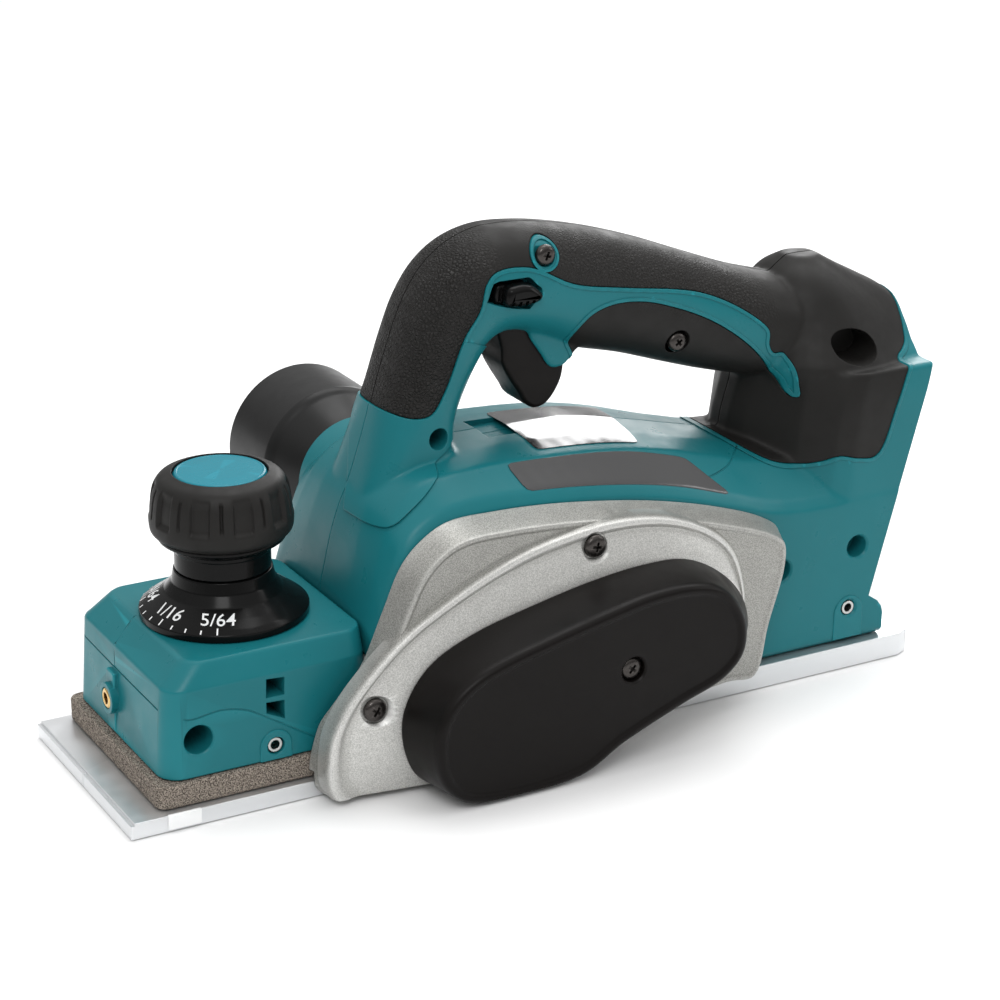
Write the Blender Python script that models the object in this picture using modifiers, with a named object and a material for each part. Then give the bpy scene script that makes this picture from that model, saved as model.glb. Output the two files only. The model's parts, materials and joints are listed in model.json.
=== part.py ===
"""A cordless hand planer, modelled as the pieces it comes apart into.

Sizes and places are in millimetres: X runs rearwards from the leading edge of the front base,
Y is measured from the centre plane (the belt side is -Y) and Z from the sole. to_world() turns
them into metres about the middle of the rear base's sole, which is the origin.
"""

import math

import bmesh
import bpy
from mathutils import Matrix, Vector

MM = 0.001
ORIGIN_X = 211.0
GAP = 0.3
AXIS_TURN = {
    "X": Matrix.Rotation(math.pi / 2, 4, "Y"),
    "Y": Matrix.Rotation(-math.pi / 2, 4, "X"),
    "Z": Matrix.Identity(4),
}

# Soles
BASE_HALF_WIDTH = 41.0
FRONT_BASE_THICKNESS = 5.5
REAR_BASE_THICKNESS = 8.5
FRONT_BASE_END = 100.5
REAR_BASE_START = 125.5
REAR_BASE_END = 297.0
DEPTH_TRAVEL = 1.984

# Cutter and motor
CUTTER_X = 115.0
CUTTER_Z = 27.7
CUTTING_RADIUS = 27.7
DRUM_RADIUS = 25.5
DRUM_HALF_LENGTH = 41.0
HOOD_INNER = 29.5
HOOD_OUTER = 33.0
MOTOR_X = 180.0
MOTOR_Z = 42.0
CAN_RADIUS = 23.5
DRUM_PULLEY_PITCH = 15.0
MOTOR_PULLEY_PITCH = 11.0
BELT_NEAR = -65.5
BELT_FAR = -57.5

# Depth knob and front block
KNOB_X = 50.4
DIAL_RADIUS = 27.2
DIAL_BASE = 51.3
BLOCK_FRONT = 13.2
BLOCK_REAR = 84.0
BLOCK_HALF_WIDTH = 37.75
BLOCK_OFFSET = 0.75
BLOCK_BOTTOM = 14.0
BLOCK_TOP = 51.0

# Housing
HALF_SPLIT = 0.15
BODY_HALF_WIDTH = 38.5
BODY_BOTTOM = 8.8
RUBBER = 2.0
BODY_WALL = 2.8
HANDLE_WALL = 4.8
BAY_LEAN = 0.275
BAY_X = 281.0
BAY_Z = 37.0
BAY_DEPTH = 8.0
HEEL_END = 284.0
HEEL_TOP = 24.5
BAY_HALF_WIDTH = 30.0
BAY_LIP_HALF_WIDTH = 26.5

# Side frame and belt cover, as layers away from the centre plane
FRAME_BACK = -38.9
FRAME_FACE = -49.0
FRAME_RIDGE = -54.0
FRAME_BOTTOM = 2.0
TRAY_FLOOR = -50.5
COVER_BACK = -54.3
COVER_FACE = -73.0

# Controls
TRIGGER_PIVOT = (150.0, 137.0)
TRIGGER_HALF_WIDTH = 8.2
PIN_RADIUS = 1.6
FOOT_PIVOT = (266.0, 4.6)

# Chip outlet
NOZZLE_X = 119.3
NOZZLE_Z = 69.8
NOZZLE_END = 90.0
NOZZLE_RADIUS = 27.0

# x, top of the flat side, shoulder half width, shoulder height, crown height
BODY_SECTIONS = [
    (84.4, 43.0, 33.0, 49.0, 54.0),
    (90.0, 60.0, 30.0, 69.0, 76.0),
    (96.0, 74.0, 28.0, 83.0, 88.0),
    (106.0, 81.0, 27.0, 92.0, 95.0),
    (120.0, 84.0, 27.0, 94.5, 97.0),
    (150.0, 83.0, 27.0, 94.5, 97.0),
    (180.0, 79.0, 27.0, 92.0, 95.0),
    (200.0, 74.5, 26.0, 88.0, 91.0),
    (220.0, 68.0, 25.0, 82.0, 86.0),
    (240.0, 62.0, 25.0, 77.0, 82.0),
    (300.0, 62.0, 25.0, 77.0, 82.0),
]

# outer x and z, inner x and z, half width, from the pedestal's foot over the loop
HANDLE_RINGS = [
    (85.0, 56.0, 130.0, 56.0, 19.0),
    (91.0, 76.0, 129.0, 76.0, 19.0),
    (97.0, 92.0, 127.0, 93.0, 18.5),
    (101.5, 106.0, 128.0, 106.0, 18.0),
    (104.5, 117.0, 132.0, 114.0, 17.5),
    (109.0, 131.0, 137.0, 123.0, 17.5),
    (114.5, 145.0, 141.5, 128.5, 17.5),
    (121.5, 155.5, 146.5, 131.0, 17.5),
    (131.0, 162.5, 152.0, 131.0, 18.0),
    (143.0, 166.0, 158.0, 129.0, 18.0),
    (158.0, 165.5, 164.0, 126.5, 18.0),
    (177.0, 162.0, 173.0, 122.0, 18.0),
    (199.0, 155.5, 192.0, 117.0, 18.0),
    (220.0, 147.5, 210.0, 111.0, 18.0),
    (240.0, 140.0, 226.0, 106.0, 19.0),
    (257.0, 135.0, 242.0, 102.0, 20.0),
    (272.0, 130.0, 258.0, 99.0, 20.0),
]

# z, nose x, nose half width, waist x and half width, start of the straight side, half width
COLUMN_RINGS = [
    (40.0, 228.0, 12.0, 247.0, 27.0, 264.0, 38.2),
    (62.0, 231.0, 12.0, 249.0, 27.0, 265.0, 38.2),
    (76.0, 234.4, 11.0, 251.0, 27.0, 266.0, 38.2),
    (88.0, 235.2, 10.5, 252.0, 27.0, 267.0, 38.2),
    (98.0, 238.6, 10.5, 253.5, 27.0, 269.0, 38.2),
    (106.5, 243.0, 11.0, 255.0, 26.0, 272.0, 37.5),
]

# z, front x, rear x, half width at the middle, half width at the rear
HEAD_RINGS = [
    (92.0, 244.0, 299.0, 34.0, 31.0),
    (106.0, 246.0, 304.0, 33.0, 26.5),
    (111.0, 247.0, 304.5, 31.0, 20.0),
    (116.0, 248.5, 305.0, 28.5, 14.5),
    (121.0, 250.0, 305.2, 26.0, 8.0),
    (126.0, 251.5, 299.5, 23.0, 6.5),
    (131.0, 253.5, 290.5, 19.5, 6.0),
    (136.0, 257.0, 281.0, 14.0, 5.5),
    (140.5, 263.0, 273.5, 6.0, 3.5),
]

# Side view of the rubber; the points beyond the shape only close the region round it
GRIP_OUTLINE = [
    (86.0, 113.0),
    (102.0, 112.5),
    (110.0, 110.8),
    (116.0, 111.5),
    (121.0, 118.5),
    (128.0, 135.0),
    (133.5, 143.0),
    (136.0, 151.5),
    (140.0, 155.0),
    (152.0, 155.0),
    (168.0, 147.5),
    (185.0, 144.0),
    (208.0, 140.0),
    (219.0, 137.0),
    (230.0, 131.9),
    (239.5, 125.5),
    (243.5, 121.3),
    (243.8, 116.2),
    (246.0, 113.0),
    (250.0, 112.4),
    (252.4, 106.2),
    (253.2, 98.0),
    (251.5, 97.5),
    (248.0, 104.0),
    (238.8, 114.4),
    (230.0, 121.8),
    (219.6, 128.4),
    (207.0, 134.0),
    (194.0, 138.0),
    (182.0, 138.5),
    (174.0, 135.5),
    (169.5, 128.0),
    (173.0, 119.0),
    (172.0, 106.0),
    (226.0, 96.0),
    (226.0, 88.0),
    (232.0, 83.0),
    (243.0, 76.5),
    (252.5, 74.6),
    (258.0, 75.9),
    (263.0, 78.2),
    (270.0, 76.9),
    (276.3, 76.3),
    (279.7, 79.1),
    (285.6, 95.7),
    (290.8, 107.6),
    (294.0, 109.2),
    (297.2, 111.0),
    (299.2, 114.6),
    (301.2, 118.5),
    (302.6, 121.5),
    (303.4, 126.0),
    (300.0, 150.0),
    (240.0, 176.0),
    (86.0, 176.0),
]

# Side frame outline at its back, against the body, and at its face
FRAME_BACK_OUTLINE = [
    (63.0, 1.0),
    (64.0, 22.0),
    (70.0, 30.0),
    (79.0, 40.0),
    (87.0, 57.0),
    (94.0, 72.0),
    (101.0, 79.0),
    (110.0, 83.5),
    (128.0, 84.0),
    (146.0, 83.0),
    (166.0, 80.5),
    (188.0, 76.5),
    (212.0, 70.0),
    (230.0, 63.0),
    (236.5, 58.0),
    (237.0, 48.0),
    (231.0, 27.0),
    (225.5, 9.5),
    (214.0, 9.5),
    (150.0, 1.0),
]
FRAME_FACE_OUTLINE = [
    (65.0, 1.0),
    (66.5, 21.0),
    (72.5, 29.0),
    (82.0, 41.0),
    (89.5, 57.0),
    (96.0, 70.0),
    (103.0, 77.0),
    (111.5, 80.5),
    (128.0, 81.0),
    (146.0, 80.0),
    (165.0, 77.8),
    (187.0, 74.0),
    (210.0, 67.5),
    (228.0, 60.8),
    (233.5, 56.5),
    (234.0, 48.0),
    (228.5, 28.0),
    (223.5, 9.5),
    (212.0, 9.5),
    (150.0, 1.0),
]
RIDGE_OUTLINE = [
    (66.0, 0.2),
    (63.5, 20.0),
    (68.0, 31.0),
    (79.0, 43.5),
    (91.0, 53.5),
    (105.0, 61.5),
    (119.0, 68.0),
    (134.0, 73.0),
    (151.0, 76.0),
    (164.0, 77.0),
    (178.0, 76.0),
    (190.0, 73.0),
    (202.0, 67.0),
    (210.0, 59.5),
    (214.5, 49.0),
    (216.0, 36.0),
    (212.0, 24.0),
    (203.0, 14.0),
    (176.0, 4.5),
    (148.0, 0.2),
]

# Belt cover at its foot and at its face
COVER_FOOT_OUTLINE = [
    (100.0, 1.6),
    (91.5, 6.0),
    (87.0, 15.5),
    (86.2, 27.0),
    (90.0, 36.5),
    (97.5, 44.5),
    (111.0, 50.8),
    (133.0, 56.3),
    (156.0, 60.6),
    (173.0, 62.2),
    (188.0, 61.5),
    (199.0, 57.0),
    (208.5, 49.0),
    (214.0, 39.5),
    (214.5, 29.5),
    (206.0, 23.0),
    (186.0, 15.5),
    (161.0, 6.5),
    (146.0, 1.6),
]
COVER_FACE_OUTLINE = [
    (102.0, 1.6),
    (93.5, 7.5),
    (89.5, 17.0),
    (89.8, 29.0),
    (94.5, 38.0),
    (102.0, 44.0),
    (112.0, 48.0),
    (131.0, 52.8),
    (151.0, 57.2),
    (167.0, 60.0),
    (182.0, 60.0),
    (192.5, 57.0),
    (200.0, 49.5),
    (203.2, 40.5),
    (202.0, 31.5),
    (195.0, 24.5),
    (179.5, 18.8),
    (157.5, 10.2),
    (141.0, 1.9),
]

TRIGGER_OUTLINE = [
    (147.0, 126.0),
    (147.4, 120.5),
    (150.5, 114.5),
    (153.8, 109.4),
    (155.6, 105.8),
    (159.5, 103.4),
    (164.0, 104.4),
    (169.6, 112.0),
    (170.6, 120.0),
    (169.0, 127.0),
    (160.0, 130.5),
    (155.0, 134.5),
    (154.6, 139.0),
    (152.0, 141.4),
    (148.0, 141.4),
    (145.6, 139.0),
    (145.2, 133.0),
]
WINDOW_OUTLINE = [
    (138.6, 142.6),
    (139.0, 149.6),
    (142.0, 151.6),
    (152.0, 151.6),
    (153.4, 147.0),
    (152.0, 142.6),
]
DRUM_BODY_PROFILE = [
    (5.8, 46.0),
    (5.8, 41.2),
    (8.5, 41.2),
    (8.5, DRUM_HALF_LENGTH),
    (DRUM_RADIUS, DRUM_HALF_LENGTH),
    (DRUM_RADIUS, -DRUM_HALF_LENGTH),
    (8.5, -DRUM_HALF_LENGTH),
    (8.5, -42.2),
    (5.8, -42.2),
    (5.8, -51.5),
    (4.6, -51.5),
    (4.6, -68.5),
]
ARMATURE_PROFILE = [
    (3.9, 31.5),
    (3.9, 10.0),
    (15.0, 8.0),
    (16.2, 6.0),
    (16.2, -16.0),
    (15.0, -18.0),
    (3.9, -20.0),
    (3.9, -67.5),
]
KNOB_BODY_PROFILE = [
    (14.8, 96.9),
    (14.8, 94.2),
    (18.0, 94.2),
    (18.0, 78.2),
    (20.4, 78.2),
    (20.4, 77.2),
    (18.0, 75.6),
    (15.6, 74.4),
    (15.4, 66.8),
    (12.7, 66.8),
    (12.7, 51.5),
    (9.0, 51.5),
    (9.0, 30.0),
    (6.4, 30.0),
    (6.4, 58.0),
]
KNOB_GRIP_PROFILE = [
    (15.2, 98.7),
    (19.3, 97.0),
    (21.5, 93.6),
    (22.6, 88.0),
    (22.9, 82.5),
    (22.4, 79.9),
    (21.0, 78.5),
    (18.3, 78.5),
    (18.3, 94.6),
    (15.2, 94.6),
]
DIAL_PROFILE = [
    (15.8, 66.5),
    (16.6, 62.6),
    (19.0, 59.4),
    (22.5, 56.9),
    (25.5, 54.9),
    (DIAL_RADIUS, 53.6),
    (DIAL_RADIUS, DIAL_BASE),
    (13.0, DIAL_BASE),
    (13.0, 66.5),
]
NOZZLE_PROFILE = [
    (NOZZLE_RADIUS, NOZZLE_END),
    (NOZZLE_RADIUS, 60.5),
    (26.0, 59.5),
    (19.5, 45.2),
    (16.7, 45.2),
    (16.7, 41.6),
    (14.6, 41.6),
    (14.6, 46.0),
    (24.4, 61.5),
    (24.4, NOZZLE_END),
]


# ---------------------------------------------------------------- scene and helpers


def clear_scene():
    for obj in list(bpy.data.objects):
        bpy.data.objects.remove(obj, do_unlink=True)


def new_collection(name):
    collection = bpy.data.collections.new(name)
    bpy.context.scene.collection.children.link(collection)
    return collection


clear_scene()
PARTS = new_collection("hand_planer")


def to_world(x, y, z):
    return Vector(((x - ORIGIN_X) * MM, y * MM, z * MM))


def add_object(name, mesh):
    obj = bpy.data.objects.new(name, mesh)
    PARTS.objects.link(obj)
    return obj


def mesh_from(name, bm):
    bmesh.ops.recalc_face_normals(bm, faces=bm.faces)
    mesh = bpy.data.meshes.new(name)
    bm.to_mesh(mesh)
    bm.free()
    return add_object(name, mesh)


def applied(obj, outward=False):
    """The object with its modifiers, or its curve, turned into a plain mesh in world space.

    outward turns every shell's faces out, which would fill a cavity that a cut has left.
    """
    bpy.context.view_layer.update()
    graph = bpy.context.evaluated_depsgraph_get()
    mesh = bpy.data.meshes.new_from_object(obj.evaluated_get(graph))
    mesh.transform(obj.matrix_world)
    name = obj.name
    bpy.data.objects.remove(obj, do_unlink=True)
    result = add_object(name, mesh)
    result.name = name
    bm = bmesh.new()
    bm.from_mesh(mesh)
    bmesh.ops.remove_doubles(bm, verts=bm.verts, dist=0.002 * MM)
    if outward:
        bmesh.ops.recalc_face_normals(bm, faces=bm.faces)
    bm.to_mesh(mesh)
    bm.free()
    return result


def boolean(obj, other, operation):
    modifier = obj.modifiers.new(operation.lower(), "BOOLEAN")
    modifier.object = other
    modifier.operation = operation
    modifier.solver = "EXACT"
    result = applied(obj)
    bpy.data.objects.remove(other, do_unlink=True)
    return result


def cut(obj, *cutters):
    for cutter in cutters:
        obj = boolean(obj, cutter, "DIFFERENCE")
    return obj


def join(obj, *others):
    for other in others:
        obj = boolean(obj, other, "UNION")
    return obj


def keep(obj, region):
    return boolean(obj, region, "INTERSECT")


def copy_of(obj, name):
    return add_object(name, obj.data.copy())


def discard(*objects):
    for obj in objects:
        bpy.data.objects.remove(obj, do_unlink=True)


def box(name, low, high, bevel=0.0):
    """A block between two corners, its edges rounded by bevel."""
    bm = bmesh.new()
    bmesh.ops.create_cube(bm, size=1.0)
    first, last = to_world(*low), to_world(*high)
    bmesh.ops.scale(bm, vec=last - first, verts=bm.verts)
    bmesh.ops.translate(bm, vec=(first + last) / 2, verts=bm.verts)
    if bevel:
        bmesh.ops.bevel(bm, geom=bm.edges, offset=bevel * MM, segments=2, affect="EDGES")
    return mesh_from(name, bm)


def cylinder(name, axis, start, length, radius, sides=20, end_radius=None):
    """A round bar or cone from a point, along +axis."""
    bm = bmesh.new()
    bmesh.ops.create_cone(
        bm,
        cap_ends=True,
        segments=sides,
        radius1=radius * MM,
        radius2=(radius if end_radius is None else end_radius) * MM,
        depth=length * MM,
    )
    bmesh.ops.translate(bm, vec=(0, 0, length * MM / 2), verts=bm.verts)
    place = Matrix.Translation(to_world(*start)) @ AXIS_TURN[axis]
    bmesh.ops.transform(bm, matrix=place, verts=bm.verts)
    return mesh_from(name, bm)


def turned(name, axis, centre, profile, sides=24):
    """A turned piece: (radius, station along the axis) pairs down its outer side, top first.

    A profile that ends off the axis is closed onto it, and one that returns to its first
    radius is a ring.
    """
    ring = profile[-1][1] > min(station for _, station in profile)
    points = list(profile)
    if not ring:
        points = [(0.0, points[0][1]), *points, (0.0, points[-1][1])]
    bm = bmesh.new()
    verts = [bm.verts.new((radius * MM, 0, station * MM)) for radius, station in points]
    count = len(verts)
    for i in range(count if ring else count - 1):
        bm.edges.new((verts[i], verts[(i + 1) % count]))
    mesh = bpy.data.meshes.new(name)
    bm.to_mesh(mesh)
    bm.free()
    obj = add_object(name, mesh)
    obj.matrix_world = Matrix.Translation(to_world(*centre)) @ AXIS_TURN[axis]
    screw = obj.modifiers.new("turn", "SCREW")
    screw.steps = sides
    screw.render_steps = sides
    screw.use_merge_vertices = True
    screw.merge_threshold = 0.01 * MM
    return applied(obj, outward=True)


def plate(name, outline, start, end, axis="Y"):
    """A flat outline filled and thickened: (x, z) points across Y, or (x, y) points up Z."""
    curve = bpy.data.curves.new(name, "CURVE")
    curve.dimensions = "2D"
    curve.fill_mode = "BOTH"
    curve.extrude = (end - start) * MM / 2
    spline = curve.splines.new("POLY")
    spline.points.add(len(outline) - 1)
    for point, (first, second) in zip(spline.points, outline):
        point.co = ((first - ORIGIN_X) * MM, second * MM, 0, 1)
    spline.use_cyclic_u = True
    obj = add_object(name, curve)
    middle = (start + end) * MM / 2
    if axis == "Y":
        turn = Matrix.Rotation(math.pi / 2, 4, "X")
        obj.matrix_world = Matrix.Translation((0, middle, 0)) @ turn
    else:
        obj.matrix_world = Matrix.Translation((0, 0, middle))
    return applied(obj, outward=True)


def loft(name, rings):
    """A closed skin through rings of equally many points, capped flat at both ends.

    Every strip has the same diagonals, so that an inset skin stays inside its outer one.
    """
    bm = bmesh.new()
    rows = [[bm.verts.new(to_world(*point)) for point in ring] for ring in rings]
    sides = len(rows[0])
    for low, high in zip(rows, rows[1:]):
        for i in range(sides):
            j = (i + 1) % sides
            bm.faces.new((low[i], low[j], high[j]))
            bm.faces.new((low[i], high[j], high[i]))
    bm.faces.new(rows[0])
    bm.faces.new(rows[-1])
    return mesh_from(name, bm)


def arc(centre, radius, first, last, steps):
    """Points on a circle from one angle to another, in degrees."""
    angles = [math.radians(first + (last - first) * i / steps) for i in range(steps + 1)]
    return [(centre[0] + radius * math.cos(a), centre[1] + radius * math.sin(a)) for a in angles]


def offset_outline(outline, distance):
    """A closed outline moved outwards by a distance, or inwards when it is negative."""
    area = sum(a[0] * b[1] - b[0] * a[1] for a, b in zip(outline, outline[1:] + outline[:1]))
    side = 1 if area > 0 else -1
    moved = []
    for i, (x, z) in enumerate(outline):
        before, after = outline[i - 1], outline[(i + 1) % len(outline)]
        first = Vector((x - before[0], z - before[1])).normalized()
        second = Vector((after[0] - x, after[1] - z)).normalized()
        normal = Vector((first.y + second.y, -first.x - second.x)) * side
        shrink = max(normal.length_squared / 2, 0.4)
        moved.append((x + normal.x * distance / shrink, z + normal.y * distance / shrink))
    return moved


def rounded_rectangle(x0, x1, half_width, radius, steps=3):
    corners = [
        ((x1 - radius, half_width - radius), 0),
        ((x0 + radius, half_width - radius), 90),
        ((x0 + radius, radius - half_width), 180),
        ((x1 - radius, radius - half_width), 270),
    ]
    return [p for centre, start in corners for p in arc(centre, radius, start, start + 90, steps)]


def finish(obj, material, pivot=None, smooth=40.0):
    """Gives a piece its material, smooth shading and, if it moves, its joint's pivot."""
    obj.data.materials.clear()
    obj.data.materials.append(material)
    obj.data.shade_smooth()
    obj.data.set_sharp_from_angle(angle=math.radians(smooth))
    if pivot:
        obj.data.transform(Matrix.Translation(-pivot.location))
        obj.parent = pivot
    return obj


def pivot_at(name, x, y, z):
    empty = bpy.data.objects.new(name, None)
    empty.location = to_world(x, y, z)
    empty.empty_display_size = 10 * MM
    PARTS.objects.link(empty)
    return empty


def material(name, colour, roughness, metallic=0.0):
    made = bpy.data.materials.new(name)
    made.use_nodes = True
    shader = made.node_tree.nodes["Principled BSDF"]
    shader.inputs["Base Color"].default_value = (*colour, 1.0)
    shader.inputs["Roughness"].default_value = roughness
    shader.inputs["Metallic"].default_value = metallic
    made.diffuse_color = (*colour, 1.0)
    return made


TEAL = material("teal_nylon", (0.010, 0.155, 0.180), 0.36)
CAP_BLUE = material("cap_blue", (0.012, 0.240, 0.370), 0.30)
SOFT_BLACK = material("soft_grip", (0.030, 0.028, 0.027), 0.62)
GLOSS_BLACK = material("black_nylon", (0.012, 0.012, 0.012), 0.30)
SILVER = material("silver_paint", (0.56, 0.55, 0.50), 0.38, 0.55)
ALUMINIUM = material("aluminium", (0.62, 0.64, 0.65), 0.34, 1.0)
STEEL = material("steel", (0.46, 0.46, 0.46), 0.30, 1.0)
DARK_STEEL = material("dark_steel", (0.09, 0.09, 0.09), 0.34, 0.9)
BRASS = material("brass", (0.72, 0.48, 0.18), 0.30, 1.0)
COPPER = material("copper", (0.80, 0.38, 0.20), 0.30, 1.0)
FOAM = material("foam", (0.19, 0.155, 0.125), 0.95)
BELT_RUBBER = material("belt_rubber", (0.02, 0.02, 0.02), 0.75)
LABEL = material("blank_plate", (0.035, 0.035, 0.038), 0.42)


# ---------------------------------------------------------------- housing forms


def superellipse(power, sides):
    """Unit points round a rounded rectangle; power 2 is an ellipse."""
    points = []
    for i in range(sides):
        angle = 2 * math.pi * i / sides
        c, s = math.cos(angle), math.sin(angle)
        x = math.copysign(abs(c) ** (2 / power), c)
        y = math.copysign(abs(s) ** (2 / power), s)
        points.append((x, y))
    return points


def body_form(name, inset=0.0):
    rings = []
    last = len(BODY_SECTIONS) - 1
    for i, (x, side_top, shoulder, shoulder_z, crown) in enumerate(BODY_SECTIONS):
        x += inset if i == 0 else -inset if i == last else 0.0
        side = BODY_HALF_WIDTH - inset
        low = BODY_BOTTOM + inset
        lean = 0.7 * inset
        half = [
            (side - 2.0, low),
            (side, low + 2.0),
            (side, side_top - 0.4 * inset),
            (side - 2.2, side_top + 4.0 - lean),
            (shoulder - 0.4 * inset, shoulder_z - lean),
            (0.55 * shoulder, 0.3 * shoulder_z + 0.7 * crown - inset),
            (0.0, crown - inset),
        ]
        ring = [(x, y, z) for y, z in half]
        ring += [(x, -y, z) for y, z in reversed(half[:-1])]
        rings.append(ring)
    return loft(name, rings)


def handle_form(name, inset=0.0, sides=12):
    rings = []
    for outer_x, outer_z, inner_x, inner_z, half_width in HANDLE_RINGS:
        middle = Vector(((outer_x + inner_x) / 2, 0, (outer_z + inner_z) / 2))
        reach = Vector(((outer_x - inner_x) / 2, 0, (outer_z - inner_z) / 2))
        reach *= 1 - inset / reach.length
        across = Vector((0, half_width - inset, 0))
        rings.append([middle + reach * c + across * s for c, s in superellipse(2.4, sides)])
    return loft(name, rings)


def column_form(name, inset=0.0):
    rings = []
    last = len(COLUMN_RINGS) - 1
    for i, (z, nose_x, nose, waist_x, waist, side_x, side) in enumerate(COLUMN_RINGS):
        z += inset if i == 0 else -inset if i == last else 0.0
        half = [
            (nose_x + inset, 0.5 * nose),
            (nose_x + 3.0 + inset, nose),
            (waist_x + 0.7 * inset, waist - 0.7 * inset),
            (side_x - 4.0 + 0.4 * inset, side - 2.0 - 0.9 * inset),
            (side_x + 2.0, side - inset),
            (312.0, side - inset),
        ]
        ring = [(x, y, z) for x, y in half] + [(x, -y, z) for x, y in reversed(half)]
        rings.append(ring)
    return loft(name, rings)


def head_form(name, inset=0.0):
    rings = []
    last = len(HEAD_RINGS) - 1
    for i, (z, front, rear, middle, back) in enumerate(HEAD_RINGS):
        z += inset if i == 0 else -inset if i == last else 0.0
        front += inset
        rear -= inset
        middle = max(middle - inset, 1.5)
        back = max(back - inset, 1.0)
        half = [
            (front, 0.35 * middle),
            (front + 0.10 * (rear - front), 0.72 * middle),
            (front + 0.30 * (rear - front), 0.97 * middle),
            (front + 0.52 * (rear - front), middle),
            (front + 0.78 * (rear - front), 0.55 * middle + 0.45 * back),
            (rear, back),
        ]
        ring = [(x, y, z) for x, y in half] + [(x, -y, z) for x, y in reversed(half)]
        rings.append(ring)
    return loft(name, rings)


def bay_plane_x(z):
    """Where the leaning battery face stands at a height."""
    return BAY_X + BAY_LEAN * (z - BAY_Z)


def behind_bay(name, inset=0.0):
    """Everything behind the battery face and the heel below it, moved forward by an inset."""
    high = 150.0
    shift = inset * math.hypot(1, BAY_LEAN)
    outline = [
        (HEEL_END - shift, -5.0),
        (HEEL_END - shift, 17.0),
        (HEEL_END - 2.5 - shift, 21.5),
        (bay_plane_x(HEEL_TOP) - shift, HEEL_TOP),
        (bay_plane_x(high) - shift, high),
        (400.0, high),
        (400.0, -5.0),
    ]
    return plate(name, outline, -60.0, 60.0)


def planer_form(name, inset=0.0, body_inset=None, bay_inset=0.0):
    body_inset = inset if body_inset is None else body_inset
    form = join(
        body_form(name, body_inset),
        column_form("column_form", inset),
        head_form("head_form", inset),
        handle_form("handle_form", inset),
    )
    return cut(form, behind_bay("behind_bay", bay_inset))


def grip_region(name, clearance=0.0):
    region = plate(name, offset_outline(GRIP_OUTLINE, clearance), -60.0, 60.0)
    boss = cylinder("boss", "Y", (158.0, -61.0, 158.0), 122.0, 5.8 - clearance, 20)
    return cut(region, boss)


def side_of(name, side):
    """Half of space: -1 is the belt side, +1 the chip side."""
    near, far = sorted((side * HALF_SPLIT, side * 120.0))
    return box(name, (-20.0, near, -20.0), (420.0, far, 220.0))


# ---------------------------------------------------------------- housing pieces


def handle_screws():
    return {"handle_screw_upper": (158.0, 158.0), "handle_screw_lower": (209.0, 121.5)}


def battery_bay():
    """The channel a battery slides into, with a lip along each side."""

    def channel(name, low, high, front, back, half):
        outline = [
            (bay_plane_x(low) - front, low),
            (bay_plane_x(low) - back, low),
            (bay_plane_x(high) - back, high),
            (bay_plane_x(high) - front, high),
        ]
        return plate(name, outline, -half, half)

    deep = channel("bay_deep", 30.0, 103.0, BAY_DEPTH, 3.5, BAY_HALF_WIDTH)
    return join(deep, channel("bay_mouth", 29.0, 104.0, 4.0, -20.0, BAY_LIP_HALF_WIDTH))


def housing_cutters():
    """Every opening through the shells, on both sides."""
    near_wall = -BODY_HALF_WIDTH - 2.0
    x, z = TRIGGER_PIVOT
    return [
        box("trigger_slot", (141.5, -8.7, 95.0), (175.0, 8.7, 134.0)),
        box("trigger_well", (143.0, -8.6, 130.0), (158.0, 8.6, 142.3)),
        cylinder("pin_bore", "Y", (x, -12.8, z), 25.6, PIN_RADIUS + GAP, 12),
        cylinder("hood_space", "Y", (CUTTER_X, -45.0, CUTTER_Z), 100.0, HOOD_OUTER + GAP, 36),
        box("arm_window", (140.0, 33.0, 5.0), (156.4, 45.0, 40.4)),
        box("mouth_space", (80.0, -45.0, 0.0), (CUTTER_X + HOOD_OUTER + GAP, 45.0, CUTTER_Z)),
        cylinder("motor_nose", "Y", (MOTOR_X, near_wall - 2.0, MOTOR_Z), 10.0, 22.0, 32),
        cylinder("chip_way", "Y", (NOZZLE_X, 30.7, NOZZLE_Z), 30.0, 17.0, 32),
        cut(
            cylinder("cover_way", "Y", (NOZZLE_X, 30.7, NOZZLE_Z), 30.0, 21.8, 32),
            box("below_cover", (80.0, 20.0, 30.0), (150.0, 70.0, 65.7)),
        ),
        cylinder("hole_leg", "Y", (118.2, -30.0, 103.2), 16.0, 3.8, 16),
        cylinder("hole_rear", "Y", (271.5, -60.0, 44.1), 30.0, 4.2, 16),
        cylinder("hole_mid", "Y", (239.8, -60.0, 41.1), 30.0, 4.2, 16),
        cylinder("nut_rear_hole", "Y", (268.9, -60.0, 21.7), 30.0, 2.9, 12),
        cylinder("frame_bore", "Y", (157.0, -60.0, 71.0), 25.0, 2.1, 12),
        plate("button_window", WINDOW_OUTLINE, -30.0, -5.0),
    ]


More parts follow.
